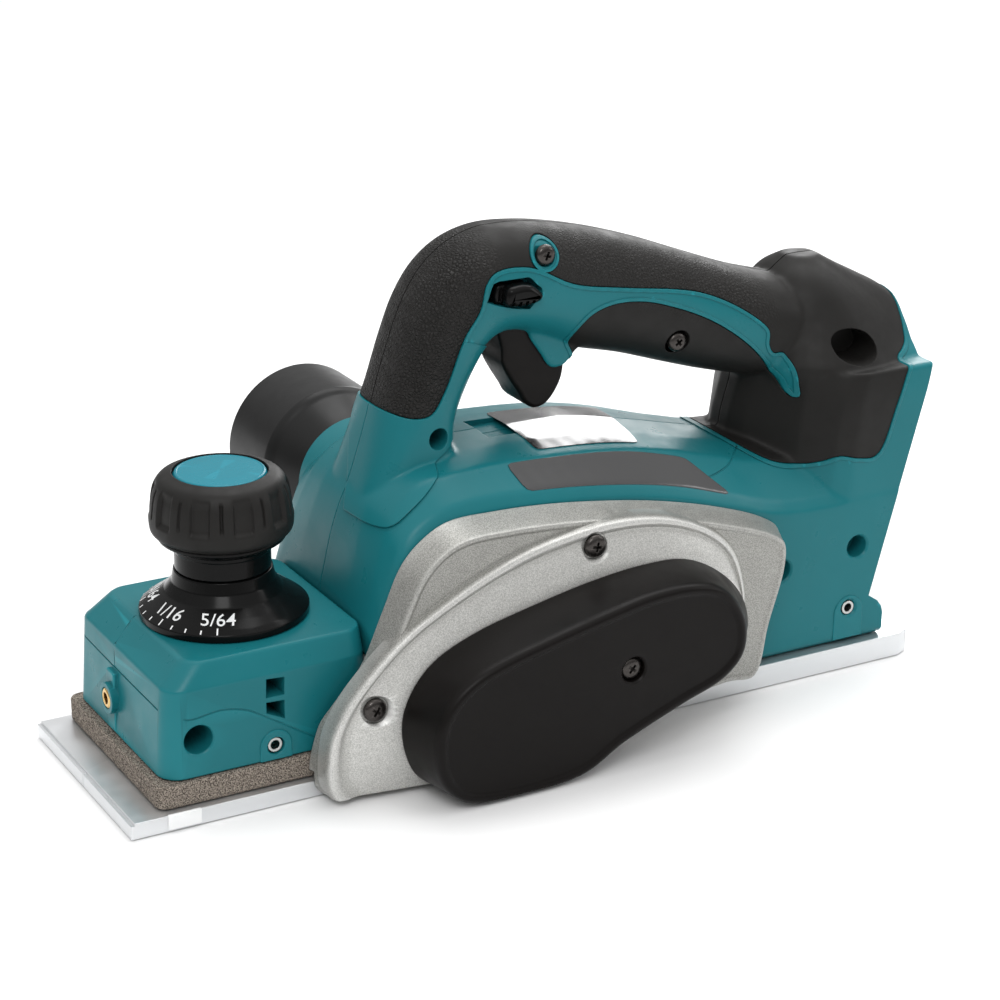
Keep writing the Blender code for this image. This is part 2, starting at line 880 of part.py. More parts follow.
def make_housings():
    outer = planer_form("outer_form")
    under = planer_form("under_form", RUBBER + GAP, 0.0)
    cavity = planer_form("cavity", HANDLE_WALL, BODY_WALL, BAY_DEPTH + BODY_WALL)
    grip_core = planer_form("grip_core", RUBBER, -0.4)
    inside = handle_form("inside", (RUBBER + HANDLE_WALL) / 2)

    sleeve = cut(grip_region("sleeve", 0.0), under)
    shell = cut(copy_of(outer, "shell"), sleeve, cavity, battery_bay(), *housing_cutters())
    rubber = keep(copy_of(outer, "rubber"), grip_region("grip_region", -GAP))
    rubber = cut(
        rubber,
        grip_core,
        box("grip_slot", (141.5, -8.7, 95.0), (175.0, 8.7, 135.0)),
        box("grip_bay", (268.0, -BAY_HALF_WIDTH, 60.0), (320.0, BAY_HALF_WIDTH, 100.0)),
    )
    discard(outer)

    for side, word in ((-1, "left"), (1, "right")):
        half = keep(copy_of(shell, f"housing_{word}"), side_of("half", side))
        skin = keep(copy_of(rubber, f"grip_{word}"), side_of("half", side))
        for name, (x, z) in handle_screws().items():
            near, far = sorted((side * HALF_SPLIT, side * 14.5))
            boss = cylinder("boss", "Y", (x, near, z), far - near, 4.4, 14)
            half = join(half, keep(boss, copy_of(inside, "limit")))
            half = cut(half, cylinder("bore", "Y", (x, -25.0, z), 36.0, 1.9, 12))
            if side < 0:
                half = cut(half, cylinder("seat", "Y", (x, -30.0, z), 14.6, 3.8, 16))
                skin = cut(skin, cylinder("seat", "Y", (x, -30.0, z), 25.0, 4.2, 16))
        finish(half, TEAL)
        finish(skin, SOFT_BLACK)
    discard(shell, rubber, inside)


def make_label_plates():
    """Blank plates lying just off the shoulder and the crown."""
    regions = {
        "shoulder_plate": plate(
            "region", [(140.4, -36.4), (219, -36.4), (206, -27.8), (137.4, -27.8)], 60, 110, "Z"
        ),
        "top_plate": plate(
            "region", [(151.9, -22.5), (191, -22.5), (196, 14.0), (152.8, 14.0)], 60, 110, "Z"
        ),
    }
    for name, region in regions.items():
        skin = cut(body_form(name, -0.9), body_form("inner", -0.35))
        finish(keep(skin, region), LABEL)


def block_ring(z, front, half_width, radius, inset=0.0):
    outline = rounded_rectangle(front + inset, BLOCK_REAR - inset, half_width - inset, radius)
    return [(x, y + BLOCK_OFFSET, z) for x, y in outline]


def make_front_block():
    shell = loft(
        "front_block",
        [
            block_ring(BLOCK_BOTTOM, BLOCK_FRONT, BLOCK_HALF_WIDTH, 7.5),
            block_ring(43.5, BLOCK_FRONT + 1.9, BLOCK_HALF_WIDTH - 0.4, 7.0),
            block_ring(BLOCK_TOP, 23.5, 33.6, 6.0),
        ],
    )
    hollow = loft(
        "hollow",
        [
            block_ring(BLOCK_BOTTOM - 3.0, BLOCK_FRONT, BLOCK_HALF_WIDTH, 6.0, 3.0),
            block_ring(42.5, BLOCK_FRONT + 1.9, BLOCK_HALF_WIDTH - 0.4, 6.0, 3.0),
            block_ring(BLOCK_TOP - 3.2, 22.8, 34.0, 5.0, 3.0),
        ],
    )
    shell = cut(shell, hollow)
    boss = cylinder("boss", "Z", (KNOB_X, 0, 16.2), 34.0, 12.6, 24)
    lug = cylinder("lug", "X", (11.4, 6.3, 25.9), 9.9, 5.2, 20)
    shell = join(shell, boss, lug)
    shell = cut(
        shell,
        cylinder("knob_bore", "Z", (KNOB_X, 0, 10.0), 50.0, 9.4, 24),
        cylinder("hood_space", "Y", (CUTTER_X, -45, CUTTER_Z), 90.0, HOOD_OUTER + GAP, 36),
        cylinder("insert_hole", "X", (5.0, 6.3, 25.9), 20.0, 3.6, 16),
        cylinder("side_hole", "Y", (24.9, -50.0, 26.6), 20.0, 5.1, 18),
        cylinder("nut_hole", "Y", (50.2, -50.0, 18.9), 20.0, 2.9, 12),
        box("slot_low", (47.8, -50.0, 28.6), (54.0, -30.0, 34.0)),
        box("slot_high", (47.8, -50.0, 35.6), (54.0, -30.0, 41.7)),
    )
    finish(shell, TEAL)
    insert_profile = [(3.3, 9.0), (3.3, 0.0), (1.9, 0.0), (1.9, 9.0)]
    finish(turned("front_insert", "X", (11.9, 6.3, 25.9), insert_profile, 16), BRASS)


def make_fence_nuts():
    profile = [(2.6, 8.0), (2.6, 0.0), (1.5, 0.0), (1.5, 8.0)]
    for name, (x, y, z) in {
        "fence_nut_front": (50.2, -36.4, 18.9),
        "fence_nut_rear": (268.9, -38.9, 21.7),
    }.items():
        finish(turned(name, "Y", (x, y, z), profile, 12), STEEL)


def make_dust_seal():
    low, high = FRONT_BASE_THICKNESS + GAP, BLOCK_BOTTOM - GAP
    outline = rounded_rectangle(10.2, BLOCK_REAR, 39.3, 4.0)
    outline = [(x, y + 0.8) for x, y in outline]
    seal = plate("dust_seal", outline, low, high, "Z")
    inside = rounded_rectangle(16.0, BLOCK_REAR - 5.0, 33.0, 3.0)
    finish(cut(seal, plate("inside", inside, low - 2, high + 2, "Z")), FOAM)


def make_side_frame():
    frame = loft(
        "side_frame",
        [
            [(x, FRAME_BACK, z) for x, z in FRAME_BACK_OUTLINE],
            [(x, FRAME_FACE, z) for x, z in FRAME_FACE_OUTLINE],
        ],
    )
    frame = join(frame, plate("ridge", RIDGE_OUTLINE, FRAME_RIDGE, -45.0))
    pocket = plate("pocket", offset_outline(FRAME_BACK_OUTLINE, -4.5), -46.5, -30.0)
    keep_solid = [
        cylinder("drum_boss", "Y", (CUTTER_X, -60.0, CUTTER_Z), 40.0, 31.5, 32),
        cylinder("motor_boss", "Y", (MOTOR_X, -60.0, MOTOR_Z), 40.0, 16.0, 32),
        cylinder("screw_boss_upper", "Y", (157.0, -60.0, 71.0), 40.0, 5.0, 12),
        cylinder("screw_boss_front", "Y", (78.0, -60.0, 31.0), 40.0, 5.0, 12),
        cylinder("cover_boss", "Y", (160.0, -60.0, 35.0), 40.0, 5.0, 12),
    ]
    frame = cut(
        frame,
        cut(pocket, *keep_solid),
        box("underside", (40.0, -60.0, -5.0), (240.0, -30.0, FRAME_BOTTOM)),
        plate("tray", offset_outline(COVER_FOOT_OUTLINE, -3.2), -60.0, TRAY_FLOOR),
        box("base_relief", (40.0, -BASE_HALF_WIDTH - 0.35, -5.0), (320.0, -30.0, 9.0)),
        drum_clearance("drum_end", -41.8, -31.8),
        cylinder("drum_seat", "Y", (CUTTER_X, -50.0, CUTTER_Z), 10.0, 14.3, 28),
        cylinder("drum_way", "Y", (CUTTER_X, -60.0, CUTTER_Z), 20.0, 9.5, 24),
        cylinder("motor_seat", "Y", (MOTOR_X, -48.0, MOTOR_Z), 12.0, 11.3, 28),
        cylinder("motor_way", "Y", (MOTOR_X, -60.0, MOTOR_Z), 30.0, 6.5, 20),
        cylinder("upper_seat", "Y", (157.0, -60.0, 71.0), 9.0, 4.2, 16),
        cylinder("front_seat", "Y", (78.0, -60.0, 31.0), 9.0, 4.2, 16),
        cylinder("upper_bore", "Y", (157.0, -60.0, 71.0), 30.0, 2.2, 12),
        cylinder("front_bore", "Y", (78.0, -60.0, 31.0), 30.0, 2.2, 12),
        cylinder("cover_bore", "Y", (160.0, -60.0, 35.0), 20.0, 2.2, 12),
    )
    finish(frame, SILVER)


def make_belt_cover():
    cover = loft(
        "belt_cover",
        [
            [(x, COVER_BACK, z) for x, z in COVER_FOOT_OUTLINE],
            [(x, COVER_FACE + 2.2, z) for x, z in COVER_FACE_OUTLINE],
            [(x, COVER_FACE, z) for x, z in offset_outline(COVER_FACE_OUTLINE, -1.6)],
        ],
    )
    hollow = loft(
        "hollow",
        [
            [(x, COVER_BACK + 2.0, z) for x, z in offset_outline(COVER_FOOT_OUTLINE, -3.0)],
            [(x, COVER_FACE + 3.2, z) for x, z in offset_outline(COVER_FACE_OUTLINE, -3.0)],
        ],
    )
    post = cylinder("post", "Y", (160.0, COVER_FACE + 1.0, 35.0), 17.0, 5.2, 16)
    dish = plate("dish", offset_outline(COVER_FACE_OUTLINE, -4.2), COVER_FACE - 2, COVER_FACE + 0.9)
    cover = join(cut(cover, hollow), post)
    cover = cut(
        cover,
        dish,
        cylinder("screw_seat", "Y", (160.0, COVER_FACE - 3, 35.0), 6.5, 4.3, 16),
        cylinder("screw_way", "Y", (160.0, COVER_FACE - 3, 35.0), 30.0, 2.2, 12),
    )
    finish(cover, GLOSS_BLACK)


def make_screw(name, x, y, z, head_radius, shank):
    """A pan-head screw driven along +Y, with its head's top at y."""
    profile = [
        (1.7, shank),
        (1.7, 2.3),
        (head_radius, 2.3),
        (head_radius, 0.8),
        (0.7 * head_radius, 0.0),
    ]
    screw = turned(name, "Y", (x, y, z), profile, 12)
    for turn in (0, 90):
        slot = box("slot", (x - 1.7, y - 1, z - 0.35), (x + 1.7, y + 1.0, z + 0.35))
        centre = to_world(x, y, z)
        spin = Matrix.Rotation(math.radians(turn + 20), 4, "Y")
        slot.data.transform(Matrix.Translation(centre) @ spin @ Matrix.Translation(-centre))
        screw = cut(screw, slot)
    finish(screw, DARK_STEEL)


def make_screws():
    for name, (x, z) in handle_screws().items():
        make_screw(name, x, -17.9, z, 3.4, 26.0)
    make_screw("frame_screw_upper", 157.0, -53.6, 71.0, 3.9, 16.5)
    make_screw("frame_screw_front", 78.0, -53.6, 31.0, 3.9, 14.0)
    make_screw("belt_cover_screw", 160.0, -72.0, 35.0, 3.9, 24.0)


def drum_clearance(name, start, end, drop=0.0):
    """The space swept by the blades, with room to spare, between two Y stations."""
    return cylinder(
        name, "Y", (CUTTER_X, start, CUTTER_Z - drop), end - start, CUTTING_RADIUS + 0.9, 48
    )


def make_chip_outlet():
    axis = (NOZZLE_X, 0, NOZZLE_Z)
    ring = [(21.5, 44.8), (21.5, 31.0), (17.0, 31.0), (17.0, 44.8)]
    cover = cut(
        turned("chip_cover", "Y", axis, ring, 32),
        box("inside_housing", (80.0, 20.0, 30.0), (150.0, 38.8, 66.0)),
        drum_clearance("drum_way", 20.0, 41.3),
    )
    finish(cover, TEAL)
    finish(turned("chip_nozzle", "Y", axis, NOZZLE_PROFILE, 28), GLOSS_BLACK)


def make_terminals():
    """The contact block on the floor of the battery bay."""
    low, high = 62.0, 88.0
    front, back = BAY_DEPTH - 0.4, 1.5

    def slab(name, z0, z1, near, far, half, centre):
        outline = [
            (bay_plane_x(z0) - near, z0),
            (bay_plane_x(z0) - far, z0),
            (bay_plane_x(z1) - far, z1),
            (bay_plane_x(z1) - near, z1),
        ]
        return plate(name, outline, centre - half, centre + half)

    block = slab("terminal_block", low, high, front, back + 3.5, 20.0, 0.0)
    for centre in (-10.0, 10.0):
        slot = slab("slot", low + 4.0, high - 4.0, front - 1.5, back - 2.0, 1.2, centre)
        block = cut(block, slot)
    finish(block, GLOSS_BLACK)
    for name, centre in (("terminal_negative", -10.0), ("terminal_positive", 10.0)):
        blade = slab(name, low + 5.0, high - 5.0, front - 2.0, back - 1.0, 0.5, centre)
        finish(blade, BRASS)


# ---------------------------------------------------------------- soles and depth control


def make_rear_base():
    outline = [
        (REAR_BASE_START, -BASE_HALF_WIDTH),
        (291.0, -BASE_HALF_WIDTH),
        (REAR_BASE_END, -35.0),
        (REAR_BASE_END, 35.0),
        (291.0, BASE_HALF_WIDTH),
        (REAR_BASE_START, BASE_HALF_WIDTH),
    ]
    base = plate("rear_base", outline, 0.0, REAR_BASE_THICKNESS, "Z")
    x, z = FOOT_PIVOT
    base = cut(
        base,
        drum_clearance("drum_way", -50.0, 50.0),
        box("foot_slot", (x - 4.6, -7.3, -2.0), (x + 20.5, 7.3, 12.0)),
        cylinder("foot_bore", "Y", (x, -14.0, z), 28.0, 1.75, 16),
    )
    finish(base, ALUMINIUM)


def make_foot(pivot):
    x, z = FOOT_PIVOT
    outline = [
        (x - 3.6, z + 0.5),
        (x - 3.0, z - 2.4),
        (x, z - 3.9),
        (x + 19.0, z - 3.9),
        (x + 19.6, z - 2.4),
        (x + 17.0, z + 0.2),
        (x + 5.0, z + 1.2),
        (x + 2.4, z + 3.2),
        (x - 2.4, z + 3.2),
    ]
    foot = plate("foot", outline, -6.8, 6.8)
    foot = cut(foot, cylinder("bore", "Y", (x, -10, z), 20.0, 1.72, 16))
    finish(foot, GLOSS_BLACK, pivot)
    finish(cylinder("foot_pin", "Y", (x, -13.4, z), 26.8, 1.65, 16), STEEL)


def make_front_base(pivot):
    outline = [
        (0.0, -BASE_HALF_WIDTH),
        (FRONT_BASE_END, -BASE_HALF_WIDTH),
        (FRONT_BASE_END, BASE_HALF_WIDTH),
        (0.0, BASE_HALF_WIDTH),
    ]
    base = plate("front_base", outline, 0.0, FRONT_BASE_THICKNESS, "Z")
    groove = [(-6.0, -1.8), (2.2, 0.0), (-6.0, 1.8)]
    base = cut(
        base,
        drum_clearance("drum_way", -50.0, 50.0, DEPTH_TRAVEL),
        plate("sight_groove", groove, -2.0, 12.0, "Z"),
        box("lead_in", (-5.0, -50.0, 4.6), (1.2, 50.0, 9.0)),
    )
    finish(base, ALUMINIUM, pivot)
    post = [(6.0, 46.0), (6.0, 7.8), (12.0, 7.8), (12.0, FRONT_BASE_THICKNESS + GAP)]
    finish(turned("base_post", "Z", (KNOB_X, 0, 0), post, 20), STEEL, pivot)


def make_base_spring():
    """The coil that holds the front base down against its screw."""
    wire, radius, low, high, turns = 0.8, 8.6, 9.0, 15.0, 3
    steps = 9 * turns
    curve = bpy.data.curves.new("base_spring", "CURVE")
    curve.dimensions = "3D"
    curve.bevel_depth = wire * MM
    curve.bevel_resolution = 1
    curve.use_fill_caps = True
    spline = curve.splines.new("POLY")
    spline.points.add(steps)
    for i, point in enumerate(spline.points):
        angle = 2 * math.pi * turns * i / steps
        height = low + (high - low) * i / steps
        place = to_world(
            KNOB_X + radius * math.cos(angle), radius * math.sin(angle), height
        )
        point.co = (*place, 1)
    finish(applied(add_object("base_spring", curve), outward=True), STEEL)


def make_depth_knob(pivot):
    centre = (KNOB_X, 0, 0)
    body = turned("knob_body", "Z", centre, KNOB_BODY_PROFILE, 20)
    finish(body, GLOSS_BLACK, pivot)
    finish(turned("depth_dial", "Z", centre, DIAL_PROFILE, 28), GLOSS_BLACK, pivot)
    grip = turned("knob_grip", "Z", centre, KNOB_GRIP_PROFILE, 24)
    for i in range(8):
        angle = 2 * math.pi * (i + 0.5) / 8
        x = KNOB_X + 24.6 * math.cos(angle)
        y = 24.6 * math.sin(angle)
        grip = cut(grip, cylinder("recess", "Z", (x, y, 80.6), 10.0, 4.2, 8))
    finish(grip, SOFT_BLACK, pivot)
    cap = [(9.0, 98.9), (14.0, 98.4), (14.9, 97.6), (14.9, 97.2)]
    finish(turned("knob_cap", "Z", centre, cap, 24), CAP_BLUE, pivot)


# ---------------------------------------------------------------- cutter and drive


def make_main_frame():
    """The cutter's hood, with the outer arm that carries the far bearing."""
    near, far, arm_near, arm_far = -38.0, 38.2, 41.4, 46.0
    axis = (CUTTER_X, 0, CUTTER_Z)
    ring = [(HOOD_OUTER, far), (HOOD_OUTER, near), (HOOD_INNER, near), (HOOD_INNER, far)]
    hood = turned("main_frame", "Y", axis, ring, 36)
    nose = arc((CUTTER_X, CUTTER_Z), 18.5, 78, 282, 12)
    arm = plate("arm", [*nose, (156.0, 13.0), (156.0, 40.0)], arm_near, arm_far)
    root = box("arm_root", (147.2, far - 4.4, 13.0), (156.0, arm_near + 1.0, 40.0))
    hood = join(hood, join(arm, root))
    hood = cut(
        hood,
        box("below", (60.0, -60.0, -10.0), (170.0, 60.0, 9.2)),
        box("chip_exit", (100.0, 2.0, 50.0), (130.0, 34.0, 70.0)),
        cylinder("bearing_seat", "Y", (CUTTER_X, 40.0, CUTTER_Z), 4.7, 11.3, 28),
        cylinder("shaft_way", "Y", (CUTTER_X, 38.0, CUTTER_Z), 20.0, 7.0, 20),
    )
    finish(hood, ALUMINIUM)


def turn_in_drum(obj, degrees):
    centre = to_world(CUTTER_X, 0, CUTTER_Z)
    spin = Matrix.Rotation(math.radians(degrees), 4, "Y")
    obj.data.transform(Matrix.Translation(centre) @ spin @ Matrix.Translation(-centre))
    return obj


def make_cutter(pivot):
    axis = (CUTTER_X, 0, CUTTER_Z)
    x, z, half = CUTTER_X, CUTTER_Z, 40.7
    seat = DRUM_RADIUS - 8.0
    drum = turned("drum", "Y", axis, DRUM_BODY_PROFILE, 32)
    clamp = [
        (x + 5.8, z + seat + 0.4),
        (x + 14.2, z + seat + 0.4),
        (x + 14.2, z + 20.6),
        (x + 5.8, z + 24.6),
    ]
    for name, degrees in (("front", -60.0), ("rear", 120.0)):
        pocket = box("pocket", (x + 4.0, -50.0, z + seat), (x + 14.6, 50.0, z + 40.0))
        drum = cut(drum, turn_in_drum(pocket, degrees))
        blade = box(f"blade_{name}", (x + 4.3, -half, z + seat + 0.4), (x + 5.4, half, z + 27.1))
        finish(turn_in_drum(blade, degrees), STEEL, pivot)
        bar = plate(f"clamp_plate_{name}", clamp, -half, half)
        finish(turn_in_drum(bar, degrees), DARK_STEEL, pivot)
    finish(drum, ALUMINIUM, pivot)
    finish(pulley("drum_pulley", axis, DRUM_PULLEY_PITCH, 4.75), DARK_STEEL, pivot)


def pulley(name, axis, pitch, bore):
    flange, seat = pitch + 2.0, pitch - 0.4
    profile = [
        (flange, -56.4),
        (flange, -57.0),
        (seat, -57.0),
        (seat, -66.0),
        (flange, -66.0),
        (flange, -66.8),
        (bore, -66.8),
        (bore, -56.4),
    ]
    return turned(name, "Y", axis, profile, 20)


def bearing(name, x, z, y0, width, bore, outside):
    profile = [(outside, y0 + width), (outside, y0), (bore, y0), (bore, y0 + width)]
    finish(turned(name, "Y", (x, 0, z), profile, 18), STEEL)


def make_bearings():
    bearing("drum_bearing_near", CUTTER_X, CUTTER_Z, -49.7, 7.2, 6.05, 14.0)
    bearing("drum_bearing_far", CUTTER_X, CUTTER_Z, 41.7, 2.7, 6.05, 11.0)
    bearing("motor_bearing_near", MOTOR_X, MOTOR_Z, -47.7, 7.0, 4.15, 11.0)
    bearing("motor_bearing_far", MOTOR_X, MOTOR_Z, 26.6, 4.6, 4.15, 8.0)


def belt_outline(offset):
    """The belt's loop round both pulleys, a distance outside their pitch circles."""
    small, large = MOTOR_PULLEY_PITCH + offset, DRUM_PULLEY_PITCH + offset
    run = Vector((MOTOR_X - CUTTER_X, MOTOR_Z - CUTTER_Z))
    slope = math.degrees(math.atan2(run.y, run.x))
    lean = math.degrees(math.asin((large - small) / run.length))
    upper, lower = 90 - lean, -90 + lean
    front = arc((CUTTER_X, CUTTER_Z), large, slope + upper, slope + 360 + lower, 20)
    rear = arc((MOTOR_X, MOTOR_Z), small, slope + lower, slope + upper, 14)
    return front + rear


def make_belt():
    belt = plate("belt", belt_outline(1.9), BELT_NEAR, BELT_FAR)
    inside = plate("inside", belt_outline(0.0), BELT_NEAR - 2, BELT_FAR + 2)
    finish(cut(belt, inside), BELT_RUBBER)


def make_motor(pivot):
    axis = (MOTOR_X, 0, MOTOR_Z)
    can = [(CAN_RADIUS, 14.0), (CAN_RADIUS, -22.5), (17.2, -22.5), (17.2, 14.0)]
    finish(turned("motor_can", "Y", axis, can, 28), STEEL)
    bell = cylinder("motor_end_bell", "Y", (MOTOR_X, 26.0, MOTOR_Z), 6.5, CAN_RADIUS, 28)
    bell = cut(
        bell,
        cylinder("seat", "Y", (MOTOR_X, 20.0, MOTOR_Z), 11.6, 8.3, 24),
        cylinder("shaft_way", "Y", (MOTOR_X, 20.0, MOTOR_Z), 20.0, 4.6, 20),
    )
    finish(bell, GLOSS_BLACK)
    for name, side in (("brush_holder_front", -1), ("brush_holder_rear", 1)):
        near, far = sorted((MOTOR_X + side * 9.6, MOTOR_X + side * 21.0))
        holder = box(name, (near, 15.4, MOTOR_Z - 4.5), (far, 25.4, MOTOR_Z + 4.5), 0.6)
        finish(holder, BRASS)

    finish(turned("armature", "Y", axis, ARMATURE_PROFILE, 20), STEEL, pivot)
    ring = [(9.0, 25.0), (9.0, 15.0), (4.2, 15.0), (4.2, 25.0)]
    finish(turned("commutator", "Y", axis, ring, 24), COPPER, pivot)
    finish(make_fan(axis), GLOSS_BLACK, pivot)
    finish(pulley("motor_pulley", axis, MOTOR_PULLEY_PITCH, 4.2), DARK_STEEL, pivot)


def make_fan(axis):
    back = [(19.0, -31.8), (19.0, -33.2), (4.2, -33.2), (4.2, -31.8)]
    hub = [(7.5, -25.0), (7.5, -33.2), (4.2, -33.2), (4.2, -25.0)]
    fan = join(turned("fan", "Y", axis, back, 18), turned("hub", "Y", axis, hub, 18))
    centre = to_world(*axis)
    for i in range(7):
        x, _, z = axis
        blade = box("blade", (x + 7.0, -32.5, z - 0.6), (x + 18.5, -25.6, z + 0.6))
        spin = Matrix.Rotation(2 * math.pi * i / 7, 4, "Y")
        blade.data.transform(Matrix.Translation(centre) @ spin @ Matrix.Translation(-centre))
        fan = join(fan, blade)
    return fan


# ---------------------------------------------------------------- controls


def make_trigger(pivot):
    x, z = TRIGGER_PIVOT
    trigger = plate("trigger", TRIGGER_OUTLINE, -TRIGGER_HALF_WIDTH, TRIGGER_HALF_WIDTH)
    trigger = cut(trigger, cylinder("bore", "Y", (x, -10, z), 20.0, PIN_RADIUS + 0.1, 16))
    finish(trigger, GLOSS_BLACK, pivot)
    finish(cylinder("trigger_pin", "Y", (x, -12.4, z), 24.8, PIN_RADIUS, 16), STEEL)


def make_switch():
    switch = box("switch_body", (160.0, -8.5, 134.5), (190.0, 8.5, 150.0), 0.8)
    finish(switch, GLOSS_BLACK)


def make_lock_off(pivot):
    button = box("lock_off_button", (139.6, -20.4, 143.6), (151.9, 8.6, 150.4), 0.7)
    finish(button, GLOSS_BLACK, pivot)


def main():
    base_slide = pivot_at("base_slide", KNOB_X, 0, FRONT_BASE_THICKNESS)
    knob_axis = pivot_at("knob_axis", KNOB_X, 0, DIAL_BASE)
    cutter_axis = pivot_at("cutter_axis", CUTTER_X, 0, CUTTER_Z)
    motor_axis = pivot_at("motor_axis", MOTOR_X, 0, MOTOR_Z)
    trigger_axis = pivot_at("trigger_axis", TRIGGER_PIVOT[0], 0, TRIGGER_PIVOT[1])
    button_slide = pivot_at("button_slide", 145.75, -20.4, 147.0)
    foot_axis = pivot_at("foot_axis", FOOT_PIVOT[0], 0, FOOT_PIVOT[1])

    make_housings()
    make_label_plates()
    make_front_block()
    make_fence_nuts()
    make_dust_seal()
    make_side_frame()
    make_belt_cover()
    make_screws()
    make_chip_outlet()
    make_terminals()
    make_rear_base()
    make_foot(foot_axis)
    make_front_base(base_slide)
    make_base_spring()
    make_depth_knob(knob_axis)
    make_main_frame()
    make_cutter(cutter_axis)
    make_bearings()
    make_belt()
    make_motor(motor_axis)
    make_trigger(trigger_axis)
    make_switch()
    make_lock_off(button_slide)


main()
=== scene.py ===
"""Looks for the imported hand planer: refined pieces and materials around the CAD frame.

Sizes are in millimetres in the part's own stations: X runs rearwards from the leading edge of
the front base, Y is measured from the centre plane (the belt side is -Y), Z from the sole.
"""

import json
import math

import bmesh
import bpy
import numpy as np
from mathutils import Matrix, Vector


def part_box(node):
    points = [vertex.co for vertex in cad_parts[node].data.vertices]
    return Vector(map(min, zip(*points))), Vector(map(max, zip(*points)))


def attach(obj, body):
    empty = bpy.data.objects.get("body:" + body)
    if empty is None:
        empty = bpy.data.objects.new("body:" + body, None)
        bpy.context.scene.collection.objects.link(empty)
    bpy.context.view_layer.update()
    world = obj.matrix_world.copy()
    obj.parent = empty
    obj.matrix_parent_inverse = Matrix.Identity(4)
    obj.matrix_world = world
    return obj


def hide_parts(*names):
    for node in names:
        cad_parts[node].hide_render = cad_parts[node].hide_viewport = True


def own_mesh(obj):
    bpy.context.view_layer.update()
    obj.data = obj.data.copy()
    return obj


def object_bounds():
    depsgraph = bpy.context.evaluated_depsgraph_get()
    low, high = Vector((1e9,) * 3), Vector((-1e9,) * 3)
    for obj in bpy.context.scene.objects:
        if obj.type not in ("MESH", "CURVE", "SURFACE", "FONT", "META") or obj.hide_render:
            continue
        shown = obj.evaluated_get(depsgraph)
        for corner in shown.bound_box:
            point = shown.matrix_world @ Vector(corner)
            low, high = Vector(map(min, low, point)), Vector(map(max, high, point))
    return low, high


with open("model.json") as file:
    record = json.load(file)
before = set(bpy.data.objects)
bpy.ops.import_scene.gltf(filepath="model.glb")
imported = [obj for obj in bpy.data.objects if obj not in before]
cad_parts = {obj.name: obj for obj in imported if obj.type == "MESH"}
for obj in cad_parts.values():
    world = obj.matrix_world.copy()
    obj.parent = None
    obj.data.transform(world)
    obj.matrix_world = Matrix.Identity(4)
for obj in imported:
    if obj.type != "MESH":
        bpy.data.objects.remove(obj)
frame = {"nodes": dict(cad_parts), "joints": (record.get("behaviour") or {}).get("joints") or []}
CAD_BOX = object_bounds()

MM = 0.001
ORIGIN_X = -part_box("front_base")[0].x / MM
JOINTS = {joint["name"]: joint for joint in frame["joints"]}


def station(joint):
    """A joint's place in stations."""
    x, y, z = JOINTS[joint]["pos_m"]
    return (x / MM + ORIGIN_X, y / MM, z / MM)


CUTTER_X, _, CUTTER_Z = station("cutter_spin")
MOTOR_X, _, MOTOR_Z = station("motor_spin")
KNOB_X, _, DIAL_BASE = station("knob_turn")
TRIGGER_X, _, TRIGGER_Z = station("trigger_pull")
HOOD_OUTER, DRUM_WAY = 33.3, 28.6
NOZZLE_X, NOZZLE_Z = 119.3, 69.8
COVER_SCREW_X, COVER_SCREW_Z = 160.0, 35.0
INSERT_Y, INSERT_Z = 6.3, 25.9
FRONT_NUT_X, FRONT_NUT_Z = 50.6, 18.9
REAR_NUT_X, REAR_NUT_Z = 268.9, 21.7
HANDLE_SCREWS = {"handle_screw_upper": (158.0, 158.0), "handle_screw_lower": (209.0, 121.5)}
FRAME_SCREWS = {"frame_screw_upper": (157.0, 71.0), "frame_screw_front": (78.0, 31.0)}
BASE_HALF_WIDTH = 41.0
BODY_HALF_WIDTH = 38.5
BODY_BOTTOM = 8.8
BAY_LEAN, BAY_X, BAY_Z = 0.275, 281.0, 37.0
HEEL_END, HEEL_TOP = 284.0, 24.5
VOXEL = 0.8
RIBS = 10
SLOT_PHASE = 0.861
SEAM = 0.22
MARK_LIFT = 0.07

# ---------------------------------------------------------------- shape tables

# x, top of the flat side, shoulder half width, shoulder height, crown height
BODY_SECTIONS = [
    (84.4, 43, 33, 49, 54), (90, 60, 30, 69, 76), (96, 74, 28, 83, 88), (106, 81, 27, 92, 95),
    (120, 84, 27, 94.5, 97), (150, 83, 27, 94.5, 97), (180, 79, 27, 92, 95),
    (200, 74.5, 26, 88, 91), (220, 68, 25, 82, 86), (240, 62, 25, 77, 82), (300, 62, 25, 77, 82),
]

# outer x and z, inner x and z, half width, from the pedestal's foot over the loop
HANDLE_RINGS = [
    (85, 56, 130, 56, 19), (91, 76, 129, 76, 19), (97, 92, 127, 93, 18.5),
    (101.5, 106, 128, 106, 18), (104.5, 117, 132, 114, 17.5), (109, 131, 137, 123, 17.5),
    (114.5, 145, 141.5, 128.5, 17.5), (121.5, 155.5, 146.5, 131, 17.5),
    (131, 162.5, 152, 131, 18), (143, 166, 158, 129, 18), (158, 165.5, 164, 126.5, 18),
    (177, 162, 173, 122, 18), (199, 155.5, 192, 117, 18), (220, 147.5, 210, 111, 18),
    (240, 140, 226, 106, 19), (257, 135, 242, 102, 20), (272, 130, 258, 99, 20),
]

# z, nose x, nose half width, waist x and half width, start of the straight side, half width
COLUMN_RINGS = [
    (40, 228, 12, 247, 27, 264, 38.2), (62, 231, 12, 249, 27, 265, 38.2),
    (76, 236.4, 11, 252, 27, 266, 38.2), (88, 238.2, 10.5, 253, 27, 267, 38.2),
    (98, 241, 10.5, 254.5, 27, 269, 38.2), (106.5, 243, 11, 255, 26, 272, 37.5),
]

